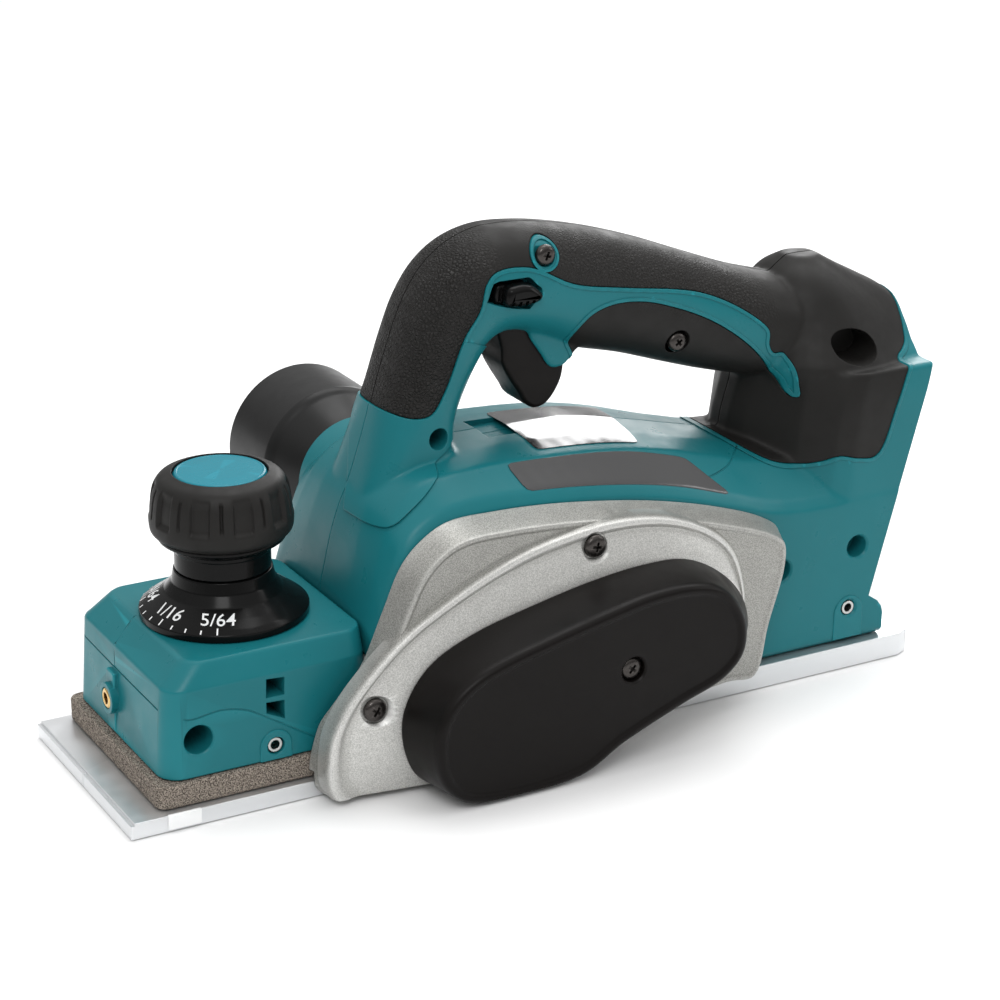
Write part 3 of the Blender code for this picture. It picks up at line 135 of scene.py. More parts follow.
# z, front x, rear x, half width at the middle, half width at the rear
HEAD_RINGS = [
    (88, 250, 296, 27, 24), (106, 246, 304, 33, 26.5), (111, 247, 304.5, 31, 20),
    (116, 248.5, 305, 28.5, 14.5), (121, 250, 305.2, 26, 8), (126, 251.5, 299.5, 23, 6.5),
    (131, 253.5, 290.5, 19.5, 6), (136, 257, 281, 14, 5.5), (140.5, 263, 273.5, 6, 3.5),
]

GUARD_NUB = [(156, 131), (161, 122), (164.5, 117.3), (169, 117.3), (173, 121), (178, 127)]

# Side view of the rubber's two fields: the handle and head, and the lower grip
UPPER_GRIP = [
    (86, 113), (102, 112.5), (110, 110.8), (116, 111.5), (121, 118.5), (128, 135), (133.5, 143),
    (136, 151.5), (140, 155), (152, 155), (168, 147.5), (185, 144), (208, 140), (219, 137),
    (230, 131.9), (239.5, 125.5), (243.5, 121.3), (243.8, 116.2), (246, 113), (250, 112.4),
    (252.4, 106.2), (253.2, 98), (251.5, 97.5), (248, 104), (238.8, 114.4), (230, 121.8),
    (219.6, 128.4), (207, 134), (194, 138), (182, 138.5), (174, 135.5), (169.5, 128), (173, 119),
    (172, 106), (226, 96), (226, 88), (232, 83), (243, 76.5), (252.5, 74.6), (258, 75.9),
    (263, 78.2), (270, 76.9), (276.3, 76.3), (279.7, 79.1), (285.6, 95.7), (290.8, 107.6),
    (294, 109.2), (297.2, 111), (299.2, 114.6), (301.2, 118.5), (302.6, 121.5), (303.4, 126),
    (300, 150), (240, 176), (86, 176),
]

PEDESTAL_PANEL = [
    (78, 130), (80, 106), (84, 84), (88, 80.2), (91.8, 79.6), (95, 81.6), (100.5, 86),
    (107, 90.4), (113, 94.2), (119, 97.4), (124, 100.4), (130, 104), (136, 112), (138, 130),
]

# The crease from the column's foot forwards over the belt side's shoulder, in x, y and z
FOOT_CREASE = [
    (234.3, -16.7, 80.5), (231.8, -19.2, 80.2), (227, -24.6, 79.9), (223.6, -27.2, 78.9),
    (219.9, -29.1, 78.3), (216, -30.8, 78.1), (211.2, -32.7, 78.2),
]

BUTTON_WINDOW = [
    (136, 145.7), (137.4, 149.7), (138.3, 151.5), (140.4, 152.1), (151, 152.1), (152.5, 151.1),
    (153.8, 149.5), (155.7, 147.9), (156.2, 145.8), (155.5, 144), (153.1, 143.1), (151.7, 141.3),
    (146.1, 142.3), (140.4, 143.9),
]

# z, front x, rear x, near y, far y and corner radius of the front block
BLOCK_RINGS = [
    (14, 13.8, 83.6, -36.5, 38, 6.6), (14.5, 13.2, 84, -37, 38.5, 7.2),
    (42.9, 15, 84, -36.7, 38.1, 7), (43.7, 15.4, 84, -36.4, 37.8, 7),
    (44.3, 16.1, 84, -36.1, 37.4, 7), (50, 22.2, 84, -33.6, 34.9, 6.6),
    (50.7, 23.3, 83.8, -33, 34.4, 6.4), (51, 24.6, 83, -32.2, 33.6, 6),
]

TRIGGER_OUTLINE = [
    (147, 126), (147.4, 120.5), (150.5, 114.5), (153.8, 109.4), (155.8, 106), (159.5, 103.6),
    (164, 104.6), (169.4, 112), (170.4, 120), (168.8, 127), (160, 130.5), (155, 134.5),
    (154.6, 139), (152, 141.2), (148, 141.2), (145.6, 139), (145.2, 133),
]

# Side frame outline at its back, against the body, and at its face
FRAME_BACK_OUTLINE = [
    (63, 1), (64, 22), (70, 30), (79, 40), (87, 57), (94, 72), (101, 79), (110, 83.5), (128, 84),
    (146, 83), (166, 80.5), (188, 76.5), (212, 70), (230, 63), (236.5, 58), (237, 48), (231, 27),
    (225.5, 9.5), (214, 9.5), (150, 1),
]
FRAME_FACE_OUTLINE = [
    (65, 1), (66.5, 21), (72.5, 29), (82, 41), (89.5, 57), (96, 70), (103, 77), (111.5, 80.5),
    (128, 81), (146, 80), (165, 77.8), (187, 74), (210, 67.5), (228, 60.8), (233.5, 56.5),
    (234, 48), (228.5, 28), (223.5, 9.5), (212, 9.5), (150, 1),
]
RIDGE_OUTLINE = [
    (66, 1.5), (63.5, 20), (68, 31), (79, 43.5), (91, 53.5), (105, 61.5), (119, 68), (134, 73),
    (151, 76), (164, 77), (178, 76), (190, 73), (202, 67), (210, 59.5), (214.5, 49), (216, 36),
    (212, 24), (203, 14), (176, 4.5), (148, 1.5),
]
COVER_FOOT_OUTLINE = [
    (100, 1.6), (91.5, 6), (87, 15.5), (86.2, 27), (90, 36.5), (97.5, 44.5), (111, 50.8),
    (133, 56.3), (156, 60.6), (173, 62.2), (188, 61.5), (199, 57), (208.5, 49), (214, 39.5),
    (214.5, 29.5), (206, 23), (186, 15.5), (161, 6.5), (146, 1.6),
]
COVER_FACE_OUTLINE = [
    (102, 1.6), (93.5, 7.5), (89.5, 17), (89.8, 29), (94.5, 38), (102, 44), (112, 48),
    (131, 52.8), (151, 57.2), (167, 60), (182, 60), (192.5, 57), (200, 49.5), (203.2, 40.5),
    (202, 31.5), (195, 24.5), (179.5, 18.8), (157.5, 10.2), (141, 1.9),
]

# ---------------------------------------------------------------- mesh helpers


def at(x, y, z):
    return Vector(((x - ORIGIN_X) * MM, y * MM, z * MM))


def add_object(name, mesh):
    obj = bpy.data.objects.new(name, mesh)
    bpy.context.scene.collection.objects.link(obj)
    return obj


def mesh_from(name, bm):
    bmesh.ops.recalc_face_normals(bm, faces=bm.faces)
    mesh = bpy.data.meshes.new(name)
    bm.to_mesh(mesh)
    bm.free()
    return add_object(name, mesh)


def applied(obj):
    """The object with its modifiers, or its curve, turned into a plain mesh in place."""
    bpy.context.view_layer.update()
    graph = bpy.context.evaluated_depsgraph_get()
    mesh = bpy.data.meshes.new_from_object(obj.evaluated_get(graph))
    mesh.transform(obj.matrix_world)
    name = obj.name
    bpy.data.objects.remove(obj, do_unlink=True)
    result = add_object(name, mesh)
    result.name = name
    return result


def boolean(obj, other, operation, solver="MANIFOLD"):
    modifier = obj.modifiers.new("boolean", "BOOLEAN")
    modifier.object = other
    modifier.operation = operation
    modifier.solver = solver
    result = applied(obj)
    bpy.data.objects.remove(other, do_unlink=True)
    return result


def cut(obj, *cutters):
    for cutter in cutters:
        obj = boolean(obj, cutter, "DIFFERENCE")
    return obj


def join(obj, *others):
    for other in others:
        obj = boolean(obj, other, "UNION")
    return obj


def keep(obj, region):
    return boolean(obj, region, "INTERSECT")


def copy_of(obj, name):
    return add_object(name, obj.data.copy())


def discard(*objects):
    for obj in objects:
        bpy.data.objects.remove(obj, do_unlink=True)


def smooth_path(points, per=6, closed=False):
    """A centripetal Catmull-Rom curve through points, or through whole rings of points."""
    given = [np.array(point, float) for point in points]
    if closed:
        control = [given[-1], *given, given[0], given[1]]
    else:
        control = [2 * given[0] - given[1], *given, 2 * given[-1] - given[-2]]
    path = []
    for a, b, c, d in zip(control, control[1:], control[2:], control[3:]):
        t1 = np.linalg.norm(b - a) ** 0.5
        t2 = t1 + np.linalg.norm(c - b) ** 0.5
        t3 = t2 + np.linalg.norm(d - c) ** 0.5
        for k in range(per):
            t = t1 + (t2 - t1) * k / per
            a1 = (t1 - t) / t1 * a + t / t1 * b
            a2 = (t2 - t) / (t2 - t1) * b + (t - t1) / (t2 - t1) * c
            a3 = (t3 - t) / (t3 - t2) * c + (t - t2) / (t3 - t2) * d
            b1 = (t2 - t) / t2 * a1 + t / t2 * a2
            b2 = (t3 - t) / (t3 - t1) * a2 + (t - t1) / (t3 - t1) * a3
            path.append((t2 - t) / (t2 - t1) * b1 + (t - t1) / (t2 - t1) * b2)
    if not closed:
        path.append(given[-1])
    return path


def loft(name, rings, hollow=False):
    """A closed skin through rings of equally many points, capped flat unless it is a hollow loop."""
    bm = bmesh.new()
    rows = [[bm.verts.new(at(*point)) for point in ring] for ring in rings]
    pairs = list(zip(rows, rows[1:]))
    if hollow:
        pairs.append((rows[-1], rows[0]))
    for low, high in pairs:
        for i in range(len(low)):
            j = (i + 1) % len(low)
            bm.faces.new((low[i], low[j], high[j], high[i]))
    if not hollow:
        bm.faces.new(rows[0])
        bm.faces.new(rows[-1])
    return mesh_from(name, bm)


def offset_outline(outline, distance):
    """A closed outline moved outwards by a distance, or inwards when it is negative."""
    points = np.array(outline, float)
    before, after = np.roll(points, 1, axis=0), np.roll(points, -1, axis=0)
    area = np.sum(points[:, 0] * after[:, 1] - after[:, 0] * points[:, 1])
    first, second = points - before, after - points
    first /= np.maximum(np.linalg.norm(first, axis=1), 1e-9)[:, None]
    second /= np.maximum(np.linalg.norm(second, axis=1), 1e-9)[:, None]
    normal = np.stack([first[:, 1] + second[:, 1], -first[:, 0] - second[:, 0]], axis=1)
    normal *= math.copysign(1, area)
    shrink = np.maximum(np.sum(normal * normal, axis=1) / 2, 0.4)
    return [tuple(p) for p in points + normal * distance / shrink[:, None]]


def smoothstep(value, low, high):
    t = min(max((value - low) / (high - low), 0.0), 1.0)
    return t * t * (3 - 2 * t)


def placed(outline, level, axis):
    if axis == "Y":
        return [(x, level, z) for x, z in outline]
    return [(x, y, level) for x, y in outline]


def slab(name, outline, start, end, round_by=0.0, axis="Y", steps=3):
    """A flat outline between two levels of Y or Z, with rounded rims."""
    rings = []
    for level, way in ((start, 1), (end, -1)):
        turns = range(steps + 1) if way > 0 else range(steps, -1, -1)
        for k in turns if round_by else (steps,):
            angle = math.pi / 2 * k / steps
            inset = round_by * (1 - math.sin(angle))
            rise = round_by * (1 - math.cos(angle))
            rings.append(placed(offset_outline(outline, -inset), level + way * rise, axis))
    return loft(name, rings)


def box(name, low, high, bevel=0.0, segments=3):
    bm = bmesh.new()
    bmesh.ops.create_cube(bm, size=1.0)
    first, last = at(*low), at(*high)
    bmesh.ops.scale(bm, vec=last - first, verts=bm.verts)
    bmesh.ops.translate(bm, vec=(first + last) / 2, verts=bm.verts)
    if bevel:
        bmesh.ops.bevel(
            bm, geom=bm.edges, offset=bevel * MM, segments=segments, affect="EDGES", profile=0.5
        )
    return mesh_from(name, bm)


def axis_point(axis, centre, along, u, v):
    x, y, z = centre
    if axis == "X":
        return (x + along, y + u, z + v)
    if axis == "Y":
        return (x + u, y + along, z + v)
    return (x + u, y + v, z + along)


def rounded_profile(profile, radius, ring):
    """A profile with its corners turned into short arcs, no longer than the sides allow."""
    points = [np.array(p, float) for p in profile]
    out = []
    count = len(points)
    for i, point in enumerate(points):
        if not ring and i in (0, count - 1):
            out.append(point)
            continue
        before, after = points[i - 1] - point, points[(i + 1) % count] - point
        reach = min(radius, 0.4 * np.linalg.norm(before), 0.4 * np.linalg.norm(after))
        a = point + before / np.linalg.norm(before) * reach
        b = point + after / np.linalg.norm(after) * reach
        for t in (0.0, 0.25, 0.5, 0.75, 1.0):
            out.append((1 - t) ** 2 * a + 2 * t * (1 - t) * point + t**2 * b)
    return out


def turned(name, axis, centre, profile, sides=96, rounding=0.4, shape=None):
    """A turned piece from (radius, station) pairs; shape may change a radius by angle."""
    ring = profile[-1][0] > 0 and profile[0][0] > 0
    points = rounded_profile(profile, rounding, ring) if rounding else profile
    rings = []
    for radius, along in points:
        loop = []
        for i in range(sides):
            angle = 2 * math.pi * i / sides
            r = max(radius, 0.02)
            if shape:
                r = shape(r, along, angle)
            loop.append(axis_point(axis, centre, along, r * math.cos(angle), r * math.sin(angle)))
        rings.append(loop)
    return loft(name, rings, hollow=ring)


def cylinder(name, axis, start, length, radius, sides=48, end_radius=None):
    end_radius = radius if end_radius is None else end_radius
    loops = []
    for along, r in ((0.0, radius), (length, end_radius)):
        angles = [2 * math.pi * i / sides for i in range(sides)]
        loops.append(
            [axis_point(axis, start, along, r * math.cos(a), r * math.sin(a)) for a in angles]
        )
    return loft(name, loops)


def tube(name, points, radius, sides=10):
    """A thin closed bar along a path."""
    path = [Vector(p) for p in points]
    rings = []
    for i, point in enumerate(path):
        along = (path[min(i + 1, len(path) - 1)] - path[max(i - 1, 0)]).normalized()
        side = along.cross(Vector((0.3, 0.2, 0.93))).normalized()
        up = along.cross(side)
        angles = [2 * math.pi * k / sides for k in range(sides)]
        rings.append([point + (side * math.cos(a) + up * math.sin(a)) * radius for a in angles])
    return loft(name, rings)


def arc(centre, radius, first, last, steps):
    angles = [math.radians(first + (last - first) * i / steps) for i in range(steps + 1)]
    return [(centre[0] + radius * math.cos(a), centre[1] + radius * math.sin(a)) for a in angles]


def rounded_rectangle(x0, x1, y0, y1, radius, steps=8):
    corners = [
        ((x1 - radius, y1 - radius), 0),
        ((x0 + radius, y1 - radius), 90),
        ((x0 + radius, y0 + radius), 180),
        ((x1 - radius, y0 + radius), 270),
    ]
    return [p for centre, start in corners for p in arc(centre, radius, start, start + 90, steps)]


def held_in_box(mesh, places):
    """Sets a mesh's points, none of them outside the CAD frame's own box."""
    inside = np.clip(places.reshape(-1, 3), list(CAD_BOX[0]), list(CAD_BOX[1]))
    mesh.vertices.foreach_set("co", inside.ravel())
    mesh.update()


def swollen(obj, name, distance):
    """A copy whose points stand off along their normals."""
    result = copy_of(obj, name)
    mesh = result.data
    count = len(mesh.vertices)
    places, normals = np.empty(count * 3), np.empty(count * 3)
    mesh.vertices.foreach_get("co", places)
    mesh.vertices.foreach_get("normal", normals)
    held_in_box(mesh, places + normals * distance * MM)
    return result


def remeshed(obj, voxel, passes, factor=0.5):
    remesh = obj.modifiers.new("remesh", "REMESH")
    remesh.mode = "VOXEL"
    remesh.voxel_size = voxel * MM
    relax = obj.modifiers.new("relax", "SMOOTH")
    relax.factor = factor
    relax.iterations = passes
    return applied(obj)


def finish(obj, body, material, slot, *nodes, sharp=32.0):
    """Shades a piece, gives it its material and body, and hides the CAD nodes it stands for."""
    obj.data.shade_smooth()
    obj.data.set_sharp_from_angle(angle=math.radians(sharp))
    weighted = obj.modifiers.new("weighted", "WEIGHTED_NORMAL")
    weighted.keep_sharp = True
    obj = applied(obj)
    obj.data.materials.clear()
    obj.data.materials.append(material)
    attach(obj, body)
    if nodes:
        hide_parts(*nodes)
    return obj


# ---------------------------------------------------------------- materials


class Graph:
    """A short way to write a material's nodes."""

    def __init__(self, name):
        self.material = bpy.data.materials.new(name)
        self.material.use_nodes = True
        self.tree = self.material.node_tree
        self.shader = self.tree.nodes["Principled BSDF"]
        self.place = self.node("ShaderNodeTexCoord").outputs["Object"]

    def node(self, kind, **settings):
        made = self.tree.nodes.new(kind)
        for key, value in settings.items():
            setattr(made, key, value)
        return made

    def link(self, start, end):
        self.tree.links.new(start, end)

    def noise(self, scale, detail=3.0, stretch=(1, 1, 1)):
        mapping = self.node("ShaderNodeMapping")
        mapping.inputs["Scale"].default_value = stretch
        self.link(self.place, mapping.inputs["Vector"])
        made = self.node("ShaderNodeTexNoise")
        made.inputs["Scale"].default_value = scale
        made.inputs["Detail"].default_value = detail
        self.link(mapping.outputs["Vector"], made.inputs["Vector"])
        return made.outputs["Fac"]

    def cells(self, scale, feature="F1"):
        made = self.node("ShaderNodeTexVoronoi", feature=feature)
        made.inputs["Scale"].default_value = scale
        self.link(self.place, made.inputs["Vector"])
        return made.outputs["Distance"]

    def remap(self, value, low, high, new_low, new_high):
        made = self.node("ShaderNodeMapRange", clamp=True)
        for socket, number in zip(made.inputs[1:5], (low, high, new_low, new_high)):
            socket.default_value = number
        self.link(value, made.inputs[0])
        return made.outputs[0]

    def mix(self, factor, first, second):
        made = self.node("ShaderNodeMix", data_type="RGBA")
        self.link(factor, made.inputs["Factor"])
        for socket, value in ((made.inputs[6], first), (made.inputs[7], second)):
            if isinstance(value, tuple):
                socket.default_value = (*value, 1.0)
            else:
                self.link(value, socket)
        return made.outputs[2]

    def times(self, first, second):
        made = self.node("ShaderNodeMath", operation="MULTIPLY")
        for socket, value in ((made.inputs[0], first), (made.inputs[1], second)):
            if isinstance(value, (int, float)):
                socket.default_value = value
            else:
                self.link(value, socket)
        return made.outputs[0]

    def bump(self, height, strength, distance, normal=None):
        made = self.node("ShaderNodeBump")
        made.inputs["Strength"].default_value = strength
        made.inputs["Distance"].default_value = distance * MM
        self.link(height, made.inputs["Height"])
        if normal is not None:
            self.link(normal, made.inputs["Normal"])
        return made.outputs["Normal"]

    def rounded_edges(self, radius):
        made = self.node("ShaderNodeBevel", samples=6)
        made.inputs["Radius"].default_value = radius * MM
        return made.outputs["Normal"]

    def edges(self, low, high):
        """One on convex edges, nought elsewhere: the mask for painted edge highlights."""
        geometry = self.node("ShaderNodeNewGeometry")
        return self.remap(geometry.outputs["Pointiness"], low, high, 0.0, 1.0)


def scaled(colour, factor):
    return tuple(min(channel * factor, 1.0) for channel in colour)


def surface(
    name,
    colour,
    roughness,
    metallic=0.0,
    spread=0.06,
    tint=0.10,
    grain=(1500.0, 0.15, 0.05),
    stretch=(1, 1, 1),
    edge=1.25,
    radius=0.35,
    coat=0.0,
    specular=0.5,
):
    """A moulded or machined surface: drifting colour and gloss, a fine grain and painted highlights on
    convex edges.
    """
    graph = Graph(name)
    drift = graph.noise(28.0, 4.0)
    fine = graph.noise(grain[0], 3.0, stretch)
    body = graph.mix(drift, scaled(colour, 1 - tint), scaled(colour, 1 + tint))
    # Painted highlight: convex edges lightened towards a brighter copy of the colour.
    edge_highlight = graph.edges(0.52, 0.62)
    body = graph.mix(graph.times(edge_highlight, 0.6), body, scaled(colour, edge))
    graph.link(body, graph.shader.inputs["Base Color"])
    rough = graph.remap(graph.noise(140.0, 4.0), 0.3, 0.7, roughness - spread, roughness + spread)
    graph.link(rough, graph.shader.inputs["Roughness"])
    normal = graph.bump(fine, grain[1], grain[2], graph.rounded_edges(radius))
    graph.link(normal, graph.shader.inputs["Normal"])
    graph.shader.inputs["Metallic"].default_value = metallic
    graph.shader.inputs["Coat Weight"].default_value = coat
    graph.shader.inputs["Coat Roughness"].default_value = 0.1
    graph.shader.inputs["Specular IOR Level"].default_value = specular
    return graph.material


def grained_rubber():
    """Soft grip rubber: a leather grain where the grain attribute says, plain elsewhere."""
    graph = Graph("soft_grip")
    colour = (0.0115, 0.0108, 0.0100)
    drift = graph.noise(40.0, 4.0)
    body = graph.mix(drift, scaled(colour, 0.8), scaled(colour, 1.25))
    mask = graph.node("ShaderNodeAttribute", attribute_name="grain").outputs["Fac"]
    creases = graph.remap(graph.cells(820.0, "DISTANCE_TO_EDGE"), 0.0, 0.35, 0.0, 1.0)
    leather = graph.times(creases, mask)
    body = graph.mix(graph.times(leather, 0.45), body, scaled(colour, 1.9))
    graph.link(body, graph.shader.inputs["Base Color"])
    rough = graph.remap(graph.noise(200.0, 4.0), 0.3, 0.7, 0.44, 0.58)
    graph.link(rough, graph.shader.inputs["Roughness"])
    normal = graph.bump(leather, 1.0, 0.42, graph.rounded_edges(0.5))
    normal = graph.bump(graph.noise(2400.0, 2.0), 0.12, 0.05, normal)
    graph.link(normal, graph.shader.inputs["Normal"])
    graph.shader.inputs["Specular IOR Level"].default_value = 0.20
    return graph.material


def speckled_foam():
    graph = Graph("foam")
    specks = graph.remap(graph.noise(2300.0, 2.0), 0.38, 0.62, 0.0, 1.0)
    body = graph.mix(specks, (0.055, 0.045, 0.038), (0.36, 0.31, 0.26))
    graph.link(body, graph.shader.inputs["Base Color"])
    graph.shader.inputs["Roughness"].default_value = 0.95
    pores = graph.bump(graph.cells(1300.0), 0.8, 0.35, graph.rounded_edges(0.6))
    graph.link(pores, graph.shader.inputs["Normal"])
    graph.shader.inputs["Specular IOR Level"].default_value = 0.2
    return graph.material


def silver_paint():
    """Paint full of fine metal flakes over a slightly uneven casting."""
    graph = Graph("silver_paint")
    flakes = graph.remap(graph.noise(2600.0, 2.0), 0.35, 0.65, 0.0, 1.0)
    field = graph.mix(flakes, (0.22, 0.22, 0.205), (0.41, 0.405, 0.38))
    ring = graph.mix(flakes, (0.43, 0.43, 0.41), (0.68, 0.675, 0.65))
    split = graph.node("ShaderNodeSeparateXYZ")
    graph.link(graph.place, split.inputs[0])
    raised = graph.remap(split.outputs["Y"], -0.0512, -0.0498, 1.0, 0.0)
    body = graph.mix(raised, field, ring)
    # Painted highlight: convex edges lightened towards pale silver.
    edge_highlight = graph.edges(0.52, 0.60)
    body = graph.mix(graph.times(edge_highlight, 0.5), body, (0.90, 0.90, 0.88))
    graph.link(body, graph.shader.inputs["Base Color"])
    rough = graph.remap(graph.noise(300.0, 4.0), 0.3, 0.7, 0.34, 0.46)
    graph.link(rough, graph.shader.inputs["Roughness"])
    normal = graph.bump(graph.noise(700.0, 3.0), 0.16, 0.06, graph.rounded_edges(0.5))
    normal = graph.bump(flakes, 0.12, 0.03, normal)
    graph.link(normal, graph.shader.inputs["Normal"])
    graph.shader.inputs["Metallic"].default_value = 0.45
    return graph.material


TEAL_COLOUR = (0.008, 0.146, 0.168)
TEAL = surface(
    "teal_nylon",
    TEAL_COLOUR,
    0.33,
    grain=(1900.0, 0.22, 0.05),
    edge=1.9,
    radius=0.4,
    specular=0.21,
)
CAP_BLUE = surface(
    "cap_blue", (0.007, 0.190, 0.250), 0.26, tint=0.05, grain=(2600.0, 0.10, 0.03), specular=0.22
)
SOFT_GRIP = grained_rubber()
BLACK = surface(
    "black_nylon",
    (0.0050, 0.0040, 0.0036),
    0.38,
    tint=0.25,
    grain=(1500.0, 0.25, 0.05),
    specular=0.13,
)
SATIN_BLACK = surface(
    "satin_black", (0.006, 0.006, 0.006), 0.36, tint=0.25, grain=(1500.0, 0.2, 0.05), specular=0.26
)
GLOSS_BLACK = surface(
    "gloss_black", (0.004, 0.004, 0.004), 0.19, spread=0.04, grain=(900.0, 0.06, 0.03), specular=0.13
)
SILVER = silver_paint()
ALUMINIUM = surface(
    "aluminium",
    (0.70, 0.71, 0.72),
    0.36,
    metallic=0.85,
    grain=(900.0, 0.30, 0.03),
    stretch=(0.06, 1.0, 1.0),
    edge=1.2,
)
STEEL = surface("steel", (0.50, 0.50, 0.49), 0.30, metallic=1.0, grain=(1400.0, 0.2, 0.02))
DARK_STEEL = surface(
    "dark_steel", (0.055, 0.050, 0.047), 0.27, metallic=0.9, grain=(1100.0, 0.25, 0.04), edge=2.2
)
BRASS = surface("brass", (0.74, 0.50, 0.20), 0.26, metallic=1.0, grain=(1600.0, 0.2, 0.03))
COPPER = surface("copper", (0.78, 0.36, 0.20), 0.30, metallic=1.0)
FOAM = speckled_foam()
BELT_RUBBER = surface("belt_rubber", (0.02, 0.02, 0.02), 0.70, grain=(1800.0, 0.4, 0.08))
PLATE = surface("blank_plate", (0.016, 0.016, 0.017), 0.16, spread=0.04, coat=0.8, radius=0.2)
PRINT = surface("dial_print", (0.82, 0.84, 0.84), 0.42, tint=0.04, radius=0.1)


# ---------------------------------------------------------------- housing and grips


def superellipse(power, sides):
    angles = 2 * np.pi * np.arange(sides) / sides
    c, s = np.cos(angles), np.sin(angles)
    return np.copysign(np.abs(c) ** (2 / power), c), np.copysign(np.abs(s) ** (2 / power), s)


def body_form():
    rings = []
    for x, side_top, shoulder, shoulder_z, crown in BODY_SECTIONS:
        half = [
            (BODY_HALF_WIDTH - 2.0, BODY_BOTTOM),
            (BODY_HALF_WIDTH, BODY_BOTTOM + 2.0),
            (BODY_HALF_WIDTH, side_top),
            (BODY_HALF_WIDTH - 2.2, side_top + 4.0),
            (shoulder, shoulder_z),
            (0.55 * shoulder, 0.3 * shoulder_z + 0.7 * crown),
            (0.0, crown),
        ]
        ring = [(x, y, z) for y, z in half]
        rings.append(ring + [(x, -y, z) for y, z in reversed(half[:-1])])
    return loft("form", smooth_path(rings, 5))


def handle_form():
    rings = []
    for outer_x, outer_z, inner_x, inner_z, half_width in HANDLE_RINGS:
        c, s = superellipse(2.4 + 2.2 * smoothstep(-outer_z, -118.0, -80.0) * (outer_x < 120.0), 56)
        middle = np.array([(outer_x + inner_x) / 2, 0, (outer_z + inner_z) / 2])
        reach = np.array([(outer_x - inner_x) / 2, 0, (outer_z - inner_z) / 2])
        across = np.array([0, half_width, 0])
        rings.append(middle + c[:, None] * reach + s[:, None] * across)
    return loft("handle_form", smooth_path(rings, 5))


def column_form():
    rings = []
    for z, nose_x, nose, waist_x, waist, side_x, side in COLUMN_RINGS:
        half = [
            (nose_x, 0.5 * nose),
            (nose_x + 3.0, nose),
            (waist_x, waist),
            (side_x - 4.0, side - 2.0),
            (side_x + 2.0, side),
            (312.0, side),
        ]
        ring = [(x, y, z) for x, y in half]
        rings.append(ring + [(x, -y, z) for x, y in reversed(half)])
    return loft("column_form", smooth_path(rings, 5))


def head_form():
    rings = []
    for z, front, rear, middle, back in HEAD_RINGS:
        half = [
            (front, 0.35 * middle),
            (front + 0.10 * (rear - front), 0.72 * middle),
            (front + 0.30 * (rear - front), 0.97 * middle),
            (front + 0.52 * (rear - front), middle),
            (front + 0.78 * (rear - front), 0.55 * middle + 0.45 * back),
            (rear, back),
        ]
        ring = [(x, y, z) for x, y in half] + [(x, -y, z) for x, y in reversed(half)]
        rings.append(smooth_path(ring, 3, closed=True))
    return loft("head_form", smooth_path(rings, 5))


def bay_plane_x(z):
    return BAY_X + BAY_LEAN * (z - BAY_Z)


def behind_bay():
    high = 150.0
    outline = [
        (HEEL_END, -5.0),
        (HEEL_END, 17.0),
        (HEEL_END - 0.8, 19.6),
        (HEEL_END - 2.6, 22.0),
        (bay_plane_x(HEEL_TOP), HEEL_TOP),
        (bay_plane_x(high), high),
        (400.0, high),
        (400.0, -5.0),
    ]
    return slab("behind_bay", outline, -60.0, 60.0)


def planer_form():
    nub = slab("nub", smooth_path(GUARD_NUB, 4, closed=True), -10.0, 10.0, 1.0)
    form = join(body_form(), column_form(), head_form(), handle_form(), nub)
    form = remeshed(form, VOXEL, 9)
    held = swollen(form, "planer_form", 0.0)
    discard(form)
    return held


def battery_bay():
    def channel(name, low, high, front, back, half):
        outline = [
            (bay_plane_x(low) - front, low),
            (bay_plane_x(low) - back, low),
            (bay_plane_x(high) - back, high),
            (bay_plane_x(high) - front, high),
        ]
        return slab(name, outline, -half, half)

    deep = channel("bay_deep", 30.0, 103.0, 8.0, 3.5, 30.0)
    return join(deep, channel("bay_mouth", 29.0, 104.0, 4.0, -20.0, 26.5))


def pit(name, x, z, y, radius, depth, flare=0.7):
    """A round hole into the belt side with a chamfered rim."""
    hole = cylinder(name, "Y", (x, y - 30.0, z), 30.0 + depth, radius)
    rim = cylinder("rim", "Y", (x, y - 3.0, z), 3.0 + flare, radius + 3.0 + flare, 48, radius)
    return join(hole, rim)


def trigger_slot():
    return box("trigger_slot", (141.5, -8.7, 95.0), (175.0, 8.7, 134.0))


def switch_space():
    return box("switch_space", (157.0, -9.0, 133.5), (191.0, 9.0, 151.0))


def housing_cutters():
    return [
        trigger_slot(),
        box("trigger_well", (141.0, -8.6, 130.0), (158.0, 8.6, 142.3)),
        switch_space(),
        box("button_space", (138.9, -12.0, 143.0), (152.9, 12.6, 151.2)),
        cylinder("pin_bore", "Y", (TRIGGER_X, -12.8, TRIGGER_Z), 25.6, 1.9),
        cylinder("hood_space", "Y", (CUTTER_X, -45.0, CUTTER_Z), 100.0, HOOD_OUTER, 96),
        box("arm_window", (140.0, 33.0, 5.0), (156.4, 45.0, 40.4)),
        box("mouth_space", (80.0, -45.0, 0.0), (CUTTER_X + HOOD_OUTER, 45.0, CUTTER_Z)),
        cylinder("motor_space", "Y", (MOTOR_X, -48.0, MOTOR_Z), 82.0, 24.5, 64),
        cylinder("chip_way", "Y", (NOZZLE_X, 30.7, NOZZLE_Z), 30.0, 17.0),
        cut(
            cylinder("cover_way", "Y", (NOZZLE_X, 30.7, NOZZLE_Z), 30.0, 21.8, 64),
            box("below_cover", (80.0, 20.0, 30.0), (150.0, 70.0, 65.7)),
        ),
        slab("button_window", BUTTON_WINDOW, -30.0, -8.5),

        battery_bay(),
        behind_bay(),
    ]


